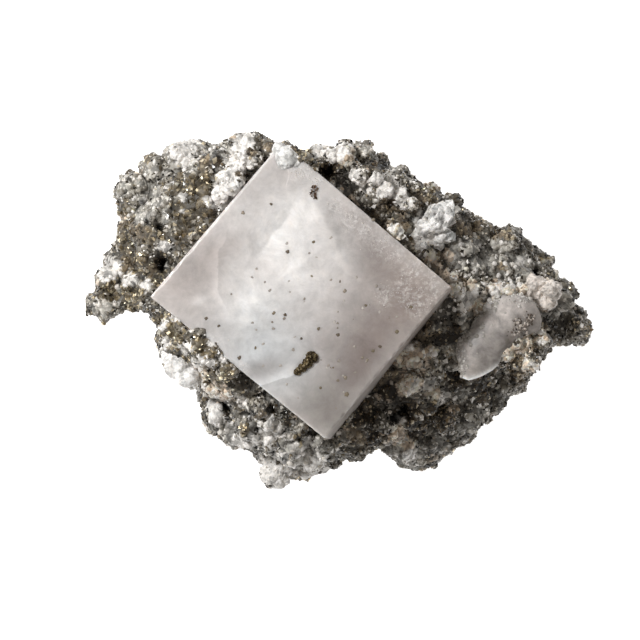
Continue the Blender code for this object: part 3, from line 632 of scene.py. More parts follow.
CORNER_CRUST = (               # x, y, height over the cube's top and radius round its far corner
    (-11.2, 31.1, -1.2, 1.1), (-8.2, 30.2, -0.5, 1.2), (-12.9, 30.6, -2.6, 1.4),
    (-6.9, 29.4, -0.3, 1.3), (-5.6, 28.6, -0.5, 1.2), (-4.6, 27.7, -0.8, 0.9),
    (9.9, 16.3, -1.1, 0.9), (11.0, 15.4, -0.9, 1.0), (12.0, 14.5, -1.3, 0.9),
)
CUTS, CUT_DEPTH = 9, (0.55, 1.1)       # planes that flatten a lump, and how far out they lie
ALONG_PLANE = 1e-6             # a ray that nears a plane more slowly than this runs along it


def cut_reach(ray, way, radius, reach):
    """The reach of each ray, shortened where a plane of the ball in its way cuts it flat.

    A plane at a depth d along its normal n is met at (d + n·way) / n·ray. A ray that would only
    get into the cut ball after it has left it gets 0. The ball's own numbers seed its planes.
    """
    own_seed = int(1e4 * radius + 1e3 * abs(way).sum())
    random = np.random.default_rng(own_seed)
    normal = unit(random.normal(size=(CUTS, 3)))
    gap = radius * random.uniform(*CUT_DEPTH, CUTS) + normal @ way
    rate = ray @ normal.T
    met = gap / np.where(np.abs(rate) < ALONG_PLANE, ALONG_PLANE, rate)
    leave = np.minimum(np.where(rate > 0.0, met, np.inf).min(axis=1), reach)
    enter = np.where(rate < 0.0, met, -np.inf).max(axis=1)
    return np.where(leave > np.maximum(enter, 0.0), leave, 0.0)


def cluster(centre, balls, around, down, lumps, cut=False):
    """A closed form from one centre: each ray goes to the far side of the last ball that it meets.

    Rows run from the top pole to the bottom one. Lumps are pairs of cell and height, in or out
    along the ray. Where it is cut, each ball is flattened by planes of its own.
    """
    polar = np.linspace(0.0, math.pi, down)[:, None]
    turn = np.arange(around)[None, :] / around * 2 * math.pi
    ray = np.stack([np.sin(polar) * np.cos(turn), np.sin(polar) * np.sin(turn),
                    np.cos(polar) + 0.0 * turn], axis=2).reshape(-1, 3)
    reach = np.zeros(len(ray))
    for *middle, radius in balls:
        way = np.subtract(middle, centre)
        along = ray @ way
        room = along ** 2 + radius ** 2 - way @ way
        far = np.where(room > 0.0, along + np.sqrt(np.maximum(room, 0.0)), 0.0)
        reach = np.maximum(reach, cut_reach(ray, way, radius, far) if cut else far)
    points = np.array(centre) + ray * reach[:, None]
    for cell, tall in lumps:
        points += ray * (tall * (crags(points, cell) - CRAG_MIDDLE))[:, None]
    return in_box(points).reshape(down, around, 3)


def join_grids(name, grids):
    """One mesh of several closed forms."""
    whole = bmesh.new()
    for grid in grids:
        part_mesh = grid_mesh(name, grid)
        whole.from_mesh(part_mesh)
        bpy.data.meshes.remove(part_mesh)
    mesh = bpy.data.meshes.new(name)
    whole.to_mesh(mesh)
    whole.free()
    return mesh


def calcite(name):
    """Massive calcite: white, faintly translucent, with a waxy skin that is pitted between lumps.

    Its tint is blotched in cells of a millimetre, and two noises roughen it.
    """
    material, tree, shader, tinted, here = tinted_material(
        name, Roughness=0.42, IOR=1.6, Subsurface_Weight=0.15, Subsurface_Scale=0.5 * MM,
        Subsurface_Radius=(1.0, 0.9, 0.8))
    blotch = add_node(tree, "ShaderNodeTexNoise",
                      {"Scale": 1 / (1.3 * MM), "Detail": 5.0, "Roughness": 0.65},
                      {"Vector": here})
    dirt = add_node(tree, "ShaderNodeMapRange",
                    {"From Min": 0.32, "From Max": 0.55, "To Min": 0.35, "To Max": 1.06},
                    {"Value": blotch.outputs["Fac"]})
    mixed = add_node(tree, "ShaderNodeMix", {"Factor": 1.0},
                     {"A": tinted.outputs["Color"], "B": dirt.outputs["Result"]},
                     data_type="RGBA", blend_type="MULTIPLY")
    pits = add_node(tree, "ShaderNodeTexVoronoi", {"Scale": 1 / (0.7 * MM)}, {"Vector": here})
    knobbly = add_node(tree, "ShaderNodeBump", {"Strength": 0.7, "Distance": 0.22 * MM},
                       {"Height": pits.outputs["Distance"]}, invert=True)
    rough = roughened(tree, here, {"Scale": 0.4, "Detail": 4.0}, strength=0.6, height=0.15,
                      under=knobbly)
    finish_skin(tree, shader, mixed.outputs["Result"], rough)
    return material


CLEAR_OF_CUBE = 0.1            # how far over the cube a point has to be


def strew(grid, each, random):
    """Points strewn evenly over a grid's area, so many a square millimetre, with their normals."""
    a, b = grid[:-1], grid[1:]
    a2, b2 = np.roll(a, -1, axis=1), np.roll(b, -1, axis=1)
    normal = np.cross(b - a2, b2 - a).reshape(-1, 3) / 2
    area = np.linalg.norm(normal, axis=1)
    picked = random.choice(len(area), int(area.sum() * each), p=area / area.sum())
    u, v = random.uniform(size=(2, len(picked), 1))
    a, a2, b, b2 = (corner.reshape(-1, 3)[picked] for corner in (a, a2, b, b2))
    site = (a * (1 - u) + a2 * u) * (1 - v) + (b * (1 - u) + b2 * u) * v
    return site, normal[picked] / area[picked, None]


def thinned(site, cell):
    """Which points are the first in their cell of space."""
    return np.sort(np.unique(np.floor(site / cell).astype(int), axis=0, return_index=True)[1])


def outside_cube(points, margin):
    """Whether each point is over the cube, or no further inside its outline than the margin."""
    inside = in_from_edge(points) > margin
    return ~(inside & (points[:, 2] < cube_top(points[:, 0], points[:, 1]) + CLEAR_OF_CUBE))


random = np.random.default_rng(SEED + 1)
site, outward = strew(skin_points, NODULE_TRIES, random)
kept = thinned(site, NODULE_CELL)
site, outward = site[kept], outward[kept]
grew = random.uniform(size=len(site)) < NODULE_SHARE
rises = outside_cube(site, 0.0) & (site[:, 2] > NODULE_LOWEST) & grew
site, outward = site[rises], outward[rises]
radius = random.uniform(*NODULE_RADIUS, len(site))
radius *= np.where(outward[:, 2] > FACES_UP, 1.0, FLANK_SIZE)
middle = site - outward * (radius * NODULE_SINK)[:, None]
nodules = [cluster(ball[:3], [ball], NODULE_AROUND, NODULE_DOWN, NODULE_LUMPS, cut=True)
           for ball in np.column_stack([middle, radius])]
corner_balls = np.array(CORNER_CRUST)
corner_balls[:, 2] += cube_top(*corner_balls[:, :2].T)
balls = np.array([*KNOBS, *CRUST, *corner_balls, *WHITE_LUMPS, *LENS_CRUST])
lobes = [cluster(ball[:3], [ball], LOBE_AROUND, LOBE_DOWN, LOBE_LUMPS, cut=True)
         for ball in balls]
lobes += nodules
kinds = minerals(np.vstack([balls[:, :3], middle]), np.random.default_rng(SEED), 0.0)
chalky = np.isin(kinds, [MINERALS.index("white"), MINERALS.index("pink")])
calcite_look = calcite("massive calcite")
small = np.arange(len(lobes)) >= len(balls)
rock_look = bpy.data.materials["vein quartz rock"]
for name, own, look, slot in (("rock_lobes", ~chalky & ~small, rock_look, "matrix_rock"),
                              ("calcite_lobes", chalky & ~small, calcite_look, "white_calcite"),
                              ("rock_nodules", ~chalky & small, rock_look, "matrix_rock"),
                              ("calcite_nodules", chalky & small, calcite_look, "white_calcite")):
    lobe_mesh = join_grids(name, [lobes[lobe] for lobe in np.flatnonzero(own)])
    # the lobes get painted highlight
    lobe_colours = skin_colours(mesh_points(lobe_mesh)) * LUMP_HIGHLIGHT
    tint(lobe_mesh, np.minimum(lobe_colours, linear(WHITEST)))
    place(name, lobe_mesh, look, slot)

# ---- the grains ---------------------------------------------------------------------------------
# Quartz, pyrite and calcite grew as separate small crystals all over the rock. Each grain is a
# tiny solid that sits a little into the skin: a chip of quartz, a cube of pyrite, a stone or ball
# of pale, white or pink calcite. Each mineral's grains of one form are joined into few meshes.
GRAIN_CELL = 0.64              # one grain in each cell of this size
GRAIN_TRIES = 18               # points a square millimetre, before they are thinned
GRAIN_SINK = 0.4               # how deep a grain sits in the skin, in radii
GRAIN_LOWEST = 0.6             # height over the underside
GRAIN_MARGIN = 0.1             # how far in under the cube's edge they go
GRAIN_SMALL = 2.0              # how much commoner the small ones are
THICK = {"quartz": 1.0, "pyrite": 0.9, "pale": 0.55, "white": 0.2, "pink": 0.45, "dark": 1.0,
         "brown": 1.0}         # how densely each grows
UNDERSIDE, UNDER_SHARE = 3.0, 0.4      # below this height only a share of the grains is left
GRAINS = {                     # least and largest radius, shape, how uneven, and colours
    "quartz": (0.22, 0.62, "chip", 0.30,
               ("#332e26", "#4e483e", "#787368", "#aaa59b", "#e6e2da", "#1b1711")),
    "pyrite": (0.20, 0.60, "cube", 0.10, ("#b9ac92", "#8a7e69", "#d6cab0", "#655a47", "#9c917a")),
    "brown": (0.20, 0.55, "chip", 0.30,
              ("#6f6350", "#554a39", "#8d816b", "#3d3427", "#a89c86", "#2a241b")),
    "pale": (0.20, 0.60, "stone", 0.24, ("#a39e96", "#868178", "#bfbab3", "#67625a", "#d3cfca")),
    "white": (0.16, 0.60, "stone", 0.22, ("#ebe7e2", "#dad5ce", "#f5f3f0", "#bfb9b0", "#857f75")),
    "pink": (0.16, 0.62, "stone", 0.22, ("#d8c9b9", "#bcab98", "#e5dacd", "#968672")),
    "dark": (0.20, 0.50, "chip", 0.30,
             ("#261e13", "#3b3123", "#574833", "#80725b", "#15110b", "#b5a88f")),
}
BIG_STONE = 0.42               # stones over this radius are rounder
SIDES, TIP = 5, 1.2            # of a chip, which is a double pyramid, and how far out its tips are
CUBE_SIDE = 1.25               # of a small cube of radius 1
SOLID_FACES = {"chip": 2 * SIDES, "cube": 12, "stone": 20, "ball": 80}
PIECE_FACES = 195000           # most triangles in one piece
VARIANTS, STRETCH = 6, (0.65, 1.25)    # shapes of each solid, and how each copy is stretched


def solid(kind, uneven, random):
    """The corners and triangles of a small solid of radius 1: a cube, a chip, a stone or a ball."""
    if kind == "chip":
        turn = np.arange(SIDES) / SIDES * 2 * math.pi
        belt = np.column_stack([np.cos(turn), np.sin(turn), 0 * turn])
        corners = np.vstack([belt, [(0, 0, TIP), (0, 0, -TIP)]])
        ring = np.arange(SIDES)
        after = (ring + 1) % SIDES
        faces = np.vstack([np.column_stack([ring, after, 0 * ring + SIDES]),
                           np.column_stack([after, ring, 0 * ring + SIDES + 1])])
    else:
        shell = bmesh.new()
        if kind == "cube":
            bmesh.ops.create_cube(shell, size=CUBE_SIDE)
        else:
            finer = 2 if kind == "ball" else 1
            bmesh.ops.create_icosphere(shell, subdivisions=finer, radius=1.0)
        bmesh.ops.triangulate(shell, faces=shell.faces)
        shell.verts.index_update()
        corners = np.array([vert.co[:] for vert in shell.verts])
        faces = np.array([[vert.index for vert in face.verts] for face in shell.faces])
        shell.free()
    return corners * (1.0 + random.uniform(-uneven, uneven, (len(corners), 1))), faces


def turned(count, random):
    """Random rotations, from random quaternions."""
    quaternions = random.normal(size=(4, count))
    w, x, y, z = quaternions / np.linalg.norm(quaternions, axis=0)
    return np.stack([
        1 - 2 * (y * y + z * z), 2 * (x * y - z * w), 2 * (x * z + y * w),
        2 * (x * y + z * w), 1 - 2 * (x * x + z * z), 2 * (y * z - x * w),
        2 * (x * z - y * w), 2 * (y * z + x * w), 1 - 2 * (x * x + y * y),
    ], axis=1).reshape(count, 3, 3)


def strewn(name, kind, uneven, centres, radii, colours, random):
    """One mesh of many small solids: each centre gets a turned and stretched copy of a variant."""
    corners, faces, tints = [], [], []
    start = 0
    which = random.integers(0, VARIANTS, len(centres))
    for variant in range(VARIANTS):
        own = which == variant
        shape, sides = solid(kind, uneven, random)
        count = own.sum()
        stretch = random.uniform(*STRETCH, (count, 1, 3)) * radii[own, None, None]
        turn = turned(count, random)
        spread = np.einsum("nij,nvj->nvi", turn, shape * stretch) + centres[own, None]
        corners.append(spread.reshape(-1, 3))
        first = start + len(shape) * np.arange(count)[:, None, None]
        faces.append((sides + first).reshape(-1, 3))
        tints.append(np.repeat(colours[own], len(shape), axis=0))
        start += len(shape) * count
    mesh = bpy.data.meshes.new(name)
    mesh.from_pydata(in_box(np.vstack(corners)) * MM, [], np.vstack(faces).tolist())
    tint(mesh, np.vstack(tints))
    return mesh


def dealt(codes, count, random):
    """A linear colour for each of so many grains, dealt at random from a row of hex colours."""
    return linear_table(codes)[random.integers(0, len(codes), count)]


def mostly_small(least, most, power, count, random):
    """So many radii between two sizes: the higher the power, the more of them are small."""
    return least + (most - least) * random.uniform(size=count) ** power


strewn_over = [strew(grid, GRAIN_TRIES, random) for grid in (*lobes, skin_points)]
site, outward = (np.vstack(part) for part in zip(*strewn_over))
in_gap = np.arange(len(site)) >= len(site) - len(strewn_over[-1][0])
kept = thinned(site, GRAIN_CELL)
site, outward, in_gap = site[kept], outward[kept], in_gap[kept]
under = (site[:, 2] < UNDERSIDE) & (random.uniform(size=len(site)) > UNDER_SHARE)
free = outside_cube(site, GRAIN_MARGIN) & ~under & (site[:, 2] > GRAIN_LOWEST)
site, outward, in_gap = site[free], outward[free], in_gap[free]
kinds = minerals(site, random, MINGLE)
thick = np.array([THICK[name] for name in MINERALS])[kinds] > random.uniform(size=len(site))
site, outward, kinds = site[thick], outward[thick], kinds[thick]
# painted shade for grains on the bare rock between the lobes, painted highlight for those on them
level = np.where(in_gap[thick], GAP_SHADE, LUMP_HIGHLIGHT)[:, None]


def quartz_look(name, roughness, **more):
    """Grown crystal chips: glassy and coloured one by one."""
    material, tree, shader, tinted, here = tinted_material(name, Roughness=roughness, **more)
    rough = roughened(tree, here, {"Scale": 0.3, "Detail": 2.0}, strength=0.35, height=0.08)
    finish_skin(tree, shader, tinted.outputs["Color"], rough)
    return material


GRAIN_LOOKS = {
    "quartz": (quartz_look("grey quartz druse", 0.2, IOR=1.54), "matrix_rock"),
    "pyrite": (quartz_look("tarnished pyrite", 0.38, Metallic=1.0), "pyrite"),
    "brown": (quartz_look("rusty quartz", 0.35, IOR=1.54), "matrix_rock"),
    "pale": (quartz_look("pale quartz", 0.3, IOR=1.54), "matrix_rock"),
    "white": (quartz_look("white calcite", 0.4, IOR=1.6), "white_calcite"),
    "pink": (quartz_look("pink calcite", 0.45, IOR=1.6), "pink_calcite"),
    # dark grains, in part painted shadow along the cube's low edges
    "dark": (quartz_look("dark quartz", 0.35, IOR=1.54), "matrix_rock"),
}
for mineral, (least, most, shape, uneven, table) in GRAINS.items():
    own = np.flatnonzero(kinds == MINERALS.index(mineral))
    radius = mostly_small(least, most, GRAIN_SMALL, len(own), random)
    centre = site[own] - outward[own] * (radius * GRAIN_SINK)[:, None]
    # painted shade in the creases and vugs, painted highlight on the lumps
    colour = dealt(table, len(own), random) * crease_shading(site[own]) * level[own]
    colour = np.minimum(colour, linear(WHITEST))
    look, slot = GRAIN_LOOKS[mineral]
    big = (radius > BIG_STONE) & (shape == "stone")
    for form, group in ((shape, np.flatnonzero(~big)), ("ball", np.flatnonzero(big))):
        parts = math.ceil(len(group) / (PIECE_FACES // SOLID_FACES[form]))
        for piece in range(parts):
            some = group[piece::parts]
            name = f"{mineral}_{form}s_{piece + 1}"
            mesh = strewn(name, form, uneven, centre[some], radius[some], colour[some], random)
            place(name, mesh, look, slot, smooth=form in ("stone", "ball"))

# ---- the fluorite cube --------------------------------------------------------------------------
# One cube of milky fluorite, grown in the druse and set corner to corner across the rock. Its
# faces are flat, its edges are barely broken, and white clouds, mauve shadows and thin healed
# cracks hang inside it; towards its right and low corners the darker clouds are in part painted
# shade. Rows run from the middle of its top face over the edge and down.
EDGE_ROUND = 0.24              # radius that the edges are broken to
EDGE_ROWS = np.array((0.15, 0.4, 0.7))         # where rows cross the rounding, as shares of it
HAIR = 1e-6                    # a distance under this counts as none
NICK_CELL, NICK_FROM, NICK_DEEP = 1.1, 0.55, 0.4       # the small chips along its edges
EDGE_BAND_WIDE, EDGE_BAND_CELL, BRUISE_AND_HIGHLIGHT_MILK = 0.25, 2.2, 0.15      # the whiter band along the edges, partly bruising and partly painted highlight: its width, lumps and milk
CUBE_HALF = 22.0               # half its side in its own frame, where it is a true square
SIDE_STEPS, FACE_STEPS, WALL_STEPS = 130, 60, 40
MILK, SHADOW = "#f6f4f2", "#7c6e68"
CLOUD_DEPTH = 9.0              # how far down from the top face the clouds reach
CLOUDS_AND_SHADE = (                     # x, y, two radii, turn in degrees, and how much milk: less milk towards the right and low corners is in part painted shade
    (-12.0, 13.0, 10.0, 7.0, 50.0, 0.36), (-8.0, 21.0, 6.0, 4.0, 60.0, 0.18),
    (-7.0, 6.0, 7.0, 6.0, 0.0, 0.19), (-17.0, 1.5, 5.0, 4.0, 0.0, 0.22),
    (-18.0, -4.0, 8.0, 5.0, 0.0, 0.07), (-21.0, 17.0, 4.0, 3.0, 45.0, -0.06),
    (-20.0, 12.0, 6.0, 3.5, 48.0, -0.21), (-28.0, 7.0, 6.0, 4.5, 30.0, -0.17),
    (3.0, 17.0, 7.0, 3.5, -50.0, -0.13), (8.0, 9.0, 7.0, 5.0, -45.0, -0.24),
    (6.0, -2.0, 7.0, 7.0, 0.0, -0.16), (2.0, -11.0, 8.0, 6.0, 40.0, -0.24),
    (-14.7, -11.4, 4.2, 1.9, 15.0, -0.23), (-10.0, -14.0, 6.0, 2.5, 20.0, 0.08),
    (14.0, 1.0, 7.0, 5.0, 35.0, -0.27), (-2.0, -20.0, 7.0, 5.0, 0.0, -0.26),
    (-26.6, 1.8, 1.6, 1.0, 20.0, 0.2), (6.0, -8.0, 5.0, 4.0, 40.0, -0.12),
    (-8.0, 27.0, 4.0, 4.0, 0.0, -0.14), (-8.0, 23.0, 3.0, 2.5, 0.0, -0.06),
    (-19.5, 17.5, 3.0, 3.0, 0.0, 0.12), (-6.8, 26.6, 2.0, 1.3, -40.0, 0.14),
    (0.8, 11.4, 4.5, 3.5, -50.0, 0.15), (-12.6, 7.2, 3.4, 2.4, 30.0, -0.14),
    (-21.0, 8.4, 2.2, 1.8, 30.0, 0.12), (-17.6, -8.8, 3.0, 1.8, 30.0, 0.10),
    (3.4, -13.4, 3.2, 2.0, 50.0, -0.10), (-5.6, 18.0, 3.6, 3.0, 0.0, 0.09),
    (9.8, 2.2, 4.5, 3.0, -45.0, 0.08), (-2.8, -6.1, 2.5, 2.0, 0.0, -0.10),
    (-15.4, 8.8, 2.4, 1.8, 30.0, -0.09), (-25.2, 11.4, 2.4, 1.8, 40.0, -0.10),
)
MILK_LEVEL = 0.49              # away from all the clouds
TONES = (                      # x, y, radius and how the green and the blue change there
    (-14.0, -9.0, 9.0, 0.07, 0.11), (15.0, 3.0, 8.0, -0.05, -0.09),
    (-31.0, 4.0, 6.0, -0.02, -0.03), (-2.0, -19.0, 6.0, 0.04, 0.03),
)
FROST = (                      # x, y and radius of the patches where the face is etched white
    (2.5, 17.5, 2.6), (5.5, 15.0, 2.2), (8.5, 12.5, 2.4), (11.0, 10.5, 2.0), (14.5, 7.5, 2.6),
    (17.5, 5.5, 2.4), (19.0, 2.5, 2.2), (15.5, 0.5, 2.4), (16.5, 3.0, 2.2), (-0.5, 20.0, 1.6),
    (-6.8, 26.6, 1.5), (-4.0, 25.0, 1.0), (-8.2, 26.2, 1.3), (-5.6, 27.2, 1.1), (9.0, 2.5, 1.8),
    (12.5, 4.0, 2.0), (13.5, 1.5, 1.6), (-24.0, -7.0, 2.0), (-18.5, -11.5, 1.5),
)
VEILS = (                      # x, y, turn, half length, bend, fade to either side and strength
    (-23.6, 7.0, 90.0, 9.0, 0.035, 0.35, 2.4, 0.22), (-12.4, 15.2, 52.6, 7.5, 0.0, 0.7, 5.0, -0.22),
    (-1.4, 16.0, -64.0, 7.5, 0.01, 0.9, 4.5, -0.17),
    (-12.0, -13.4, 12.0, 5.5, -0.02, 0.3, 2.6, 0.32), (-9.9, 25.5, 90.0, 2.2, 0.0, 0.16, 0.3, 0.22),
    (-7.5, 9.0, 35.0, 8.0, 0.02, 0.6, 3.0, 0.09), (3.0, 6.0, -40.0, 9.0, -0.01, 0.4, 1.8, 0.06),
    (-14.0, 0.5, -15.0, 7.0, 0.015, 0.5, 2.4, 0.06),
)
VEIL_CORE = 0.15               # the share of its squared half length that is at full strength
SWAY = 3.5                     # how far the noise moves a veil to and fro
ETCH_WHITE = (0.85, 0.82, 0.79, 1.0)   # the etched dots, as a linear colour
WALL_SHADE = 0.22               # painted shade on the cube's sides: how much less milk shows there than in its top


def cube_rows():
    """Distances along half a side and down a wall, closer together where the edge is rounded."""
    flat = np.linspace(0.0, CUBE_HALF - EDGE_ROUND, FACE_STEPS)
    rounding = CUBE_HALF - EDGE_ROUND * np.array((*EDGE_ROWS[::-1], 0.0))
    deep = CUBE_DEPTH / EDGE_ROUND
    level = np.linspace(1.0, deep - 1.0, WALL_STEPS)
    wall = np.concatenate([EDGE_ROWS, level, deep - EDGE_ROWS[::-1]]) * EDGE_ROUND
    return np.concatenate([flat, rounding]), wall


def cube_surface():
    """The cube as rows of points: squares that grow from the pole, walls, and squares that close.

    A point of the sharp box is drawn in to the box that is smaller by the rounding, then set out
    again by the rounding, less a nick where it lies on an edge, which leaves the faces flat. The
    square is then laid between the four corners of the real top face.
    """
    face, wall = cube_rows()
    out = np.concatenate([face, np.full(len(wall), CUBE_HALF), face[::-1]])
    down = np.concatenate([np.zeros(len(face)), wall, np.full(len(face), CUBE_DEPTH)])
    half_side = face / CUBE_HALF
    side = np.concatenate([-half_side[:0:-1], half_side[:-1]])
    side = np.interp(np.linspace(0, len(side) - 1, SIDE_STEPS), np.arange(len(side)), side)[:-1]
    a = np.concatenate([side, np.ones_like(side), -side, -np.ones_like(side)])
    b = np.concatenate([-np.ones_like(side), side, np.ones_like(side), -side])
    depth = np.repeat(down[:, None], len(a), axis=1)
    sharp = np.stack([np.outer(out, a), np.outer(out, b), depth], axis=2)
    low = np.array((EDGE_ROUND - CUBE_HALF, EDGE_ROUND - CUBE_HALF, EDGE_ROUND))
    high = np.array((CUBE_HALF - EDGE_ROUND, CUBE_HALF - EDGE_ROUND, CUBE_DEPTH - EDGE_ROUND))
    inner = np.clip(sharp, low, high)
    away = sharp - inner
    on_edge = (np.abs(away) > HAIR).sum(axis=2) > 1
    away /= np.maximum(np.linalg.norm(away, axis=2), HAIR)[:, :, None]
    bruise = crags(sharp.reshape(-1, 3), NICK_CELL).reshape(out.size, -1)
    nick = NICK_DEEP * np.maximum(bruise - NICK_FROM, 0.0)
    local = inner + (EDGE_ROUND - np.where(on_edge, nick, 0.0))[:, :, None] * away
    u, v = (local[..., :1] / CUBE_HALF + 1) / 2, (local[..., 1:2] / CUBE_HALF + 1) / 2
    left, top, right, foot = (np.array((x, y, cube_top(x, y))) for x, y in CUBE_CORNERS)
    flat = (left * (1 - u) + foot * u) * (1 - v) + (top * (1 - u) + right * u) * v
    sink = np.array((*(cube_way * math.sin(CUBE_TILT)), -math.cos(CUBE_TILT)))
    return flat + local[..., 2:] * sink


def milk(points):
    """How milky the crystal is, from 0 to 1: a level with soft oval clouds in it near the top, the
    darker ones in part painted shade.
    """
    amount = np.full(len(points), MILK_LEVEL)
    deep = (under_top(points) / CLOUD_DEPTH) ** 2
    for x, y, long, wide, degrees, much in CLOUDS_AND_SHADE:
        turn = math.radians(degrees)
        dx, dy = points[:, 0] - x, points[:, 1] - y
        along = dx * math.cos(turn) + dy * math.sin(turn)
        across = dy * math.cos(turn) - dx * math.sin(turn)
        amount += much * np.exp(-((along / long) ** 2 + (across / wide) ** 2 + deep))
    return np.clip(amount, 0.0, 1.0)[:, None]


def etched(points):
    """How strongly each point of the top face is etched, from 0 to 1."""
    most = np.zeros(len(points))
    for patch in FROST:
        most = np.maximum(most, np.exp(-away_from(points, *patch)))
    return most


def sheet(tree, here, x, y, degrees, half, bend, near, far, strength):
    """A thin bright or dark sheet in the crystal, seen edge on as a bent line of some length.

    It fades out fast to one side and slowly to the other, and towards both its ends.
    """
    local = add_node(tree, "ShaderNodeMapping",
                     {"Location": (x * MM, y * MM, 0.0), "Scale": (MM, MM, MM),
                      "Rotation": (0.0, 0.0, math.radians(degrees))},
                     {"Vector": here}, vector_type="TEXTURE")
    split = add_node(tree, "ShaderNodeSeparateXYZ", links={"Vector": local.outputs["Vector"]})
    squared = add_node(tree, "ShaderNodeMath", links={0: split.outputs["X"], 1: split.outputs["X"]},
                       operation="MULTIPLY")
    across = add_node(tree, "ShaderNodeMath", {1: bend},
                      {0: squared.outputs[0], 2: split.outputs["Y"]}, operation="MULTIPLY_ADD")
    rise = add_node(tree, "ShaderNodeMapRange", {"From Min": -near, "From Max": 0.0},
                    {"Value": across.outputs[0]}, interpolation_type="SMOOTHSTEP")
    fall = add_node(tree, "ShaderNodeMapRange", {"From Min": far, "From Max": 0.0},
                    {"Value": across.outputs[0]}, interpolation_type="SMOOTHSTEP")
    ends = add_node(tree, "ShaderNodeMapRange",
                    {"From Min": half ** 2, "From Max": VEIL_CORE * half ** 2, "To Max": strength},
                    {"Value": squared.outputs[0]}, interpolation_type="SMOOTHSTEP")
    both = add_node(tree, "ShaderNodeMath", links={0: rise.outputs[0], 1: fall.outputs[0]},
                    operation="MULTIPLY")
    return add_node(tree, "ShaderNodeMath", links={0: both.outputs[0], 1: ends.outputs[0]},
                    operation="MULTIPLY").outputs[0]


def milky_crystal(name, depth, roughness, haze_size, haze_deep, veils=()):
    """Milky fluorite: light goes a few millimetres in and comes back out of its white haze.

    The haze is wispy and mottled; veils lie in it as bent sheets, made crooked by a noise; and a
    white etching of fine dots covers the face where its tint says so.
    """
    material, tree, shader, tinted, here = tinted_material(
        name, Roughness=roughness, IOR=1.434, Subsurface_Weight=1.0, Subsurface_Scale=depth * MM,
        Subsurface_Radius=(1.0, 0.94, 0.88))
    haze = add_node(tree, "ShaderNodeTexNoise",
                    {"Scale": 1 / (haze_size * MM), "Detail": 10.0, "Roughness": 0.72,
                     "Distortion": 0.5}, {"Vector": here})
    hazy = add_node(tree, "ShaderNodeMapRange",
                    {"From Min": 0.3, "From Max": 0.7,
                     "To Min": 1 - haze_deep, "To Max": 1 + haze_deep},
                    {"Value": haze.outputs["Fac"]})
    mottle = add_node(tree, "ShaderNodeTexNoise",
                      {"Scale": 1 / (2.2 * MM), "Detail": 6.0, "Roughness": 0.7}, {"Vector": here})
    mottled = add_node(tree, "ShaderNodeMapRange",
                       {"From Min": 0.3, "From Max": 0.7, "To Min": -0.1, "To Max": 0.1},
                       {"Value": mottle.outputs["Fac"]})
    total = add_node(tree, "ShaderNodeMath", links={0: hazy.outputs[0], 1: mottled.outputs[0]},
                     operation="ADD")
    noise = add_node(tree, "ShaderNodeTexNoise", {"Scale": 1 / (5.0 * MM), "Detail": 4.0},
                     {"Vector": here})
    swayed = add_node(tree, "ShaderNodeVectorMath", {1: (SWAY * MM,) * 3},
                      {0: noise.outputs["Color"], 2: here}, operation="MULTIPLY_ADD")
    crooked = add_node(tree, "ShaderNodeVectorMath", {1: (SWAY / 2 * MM,) * 3},
                       {0: swayed.outputs[0]}, operation="SUBTRACT")
    for veil in veils:
        one = sheet(tree, crooked.outputs[0], *veil)
        total = add_node(tree, "ShaderNodeMath", links={0: total.outputs[0], 1: one},
                         operation="ADD")
    veiled = add_node(tree, "ShaderNodeMix", {"Factor": 1.0},
                      {"A": tinted.outputs["Color"], "B": total.outputs[0]},
                      data_type="RGBA", blend_type="MULTIPLY")
    dots = add_node(tree, "ShaderNodeTexNoise",
                    {"Scale": 1 / (0.8 * MM), "Detail": 6.0, "Roughness": 0.75}, {"Vector": here})
    dot = add_node(tree, "ShaderNodeMapRange", {"From Min": 0.46, "From Max": 0.7, "To Max": 0.9},
                   {"Value": dots.outputs["Fac"]})
    etch = add_node(tree, "ShaderNodeMath", links={0: dot.outputs[0], 1: tinted.outputs["Alpha"]},
                    operation="MULTIPLY")
    frosted = add_node(tree, "ShaderNodeMix", {"B": ETCH_WHITE},
                       {"Factor": etch.outputs[0], "A": veiled.outputs["Result"]}, data_type="RGBA")
    wave = {"Scale": 1.4, "Detail": 5.0, "Roughness": 0.6}
    uneven = roughened(tree, here, wave, strength=0.3, height=0.10)
    raised = add_node(tree, "ShaderNodeBump", {"Strength": 0.5, "Distance": 0.12 * MM},
                      {"Height": etch.outputs[0], "Normal": uneven.outputs["Normal"]})
    finish_skin(tree, shader, frosted.outputs["Result"], raised)
    return material


cube_mesh = grid_mesh("fluorite_cube", cube_surface())
cube_points = mesh_points(cube_mesh)
cloud = milk(cube_points)
from_edge = in_from_edge(cube_points)[:, None]
# a whiter band along the edges: partly bruising, partly painted edge highlight
edge_bruise_and_highlight = np.exp(-(from_edge / EDGE_BAND_WIDE) ** 2) * crags(cube_points, EDGE_BAND_CELL)[:, None]
# the sides lose milk as painted shade
walls = np.clip(under_top(cube_points), 0.0, 1.0)[:, None]
cloud = np.clip(cloud + BRUISE_AND_HIGHLIGHT_MILK * edge_bruise_and_highlight - WALL_SHADE * walls, 0.0, 1.0)
cube_colours = linear(SHADOW) * (1 - cloud) + linear(MILK) * cloud
for x, y, radius, greener, bluer in TONES:
    share = np.exp(-away_from(cube_points, x, y, radius))
    cube_colours *= 1.0 + share[:, None] * np.array((0.0, greener, bluer))
tint(cube_mesh, np.minimum(cube_colours, 1.0), etched(cube_points))
cube_look = milky_crystal("milky fluorite", depth=1.4, roughness=0.3, haze_size=6.0,
                          haze_deep=0.19, veils=VEILS)
place("milky_fluorite_cube", cube_mesh, cube_look, "milky_fluorite", "fluorite_cube")

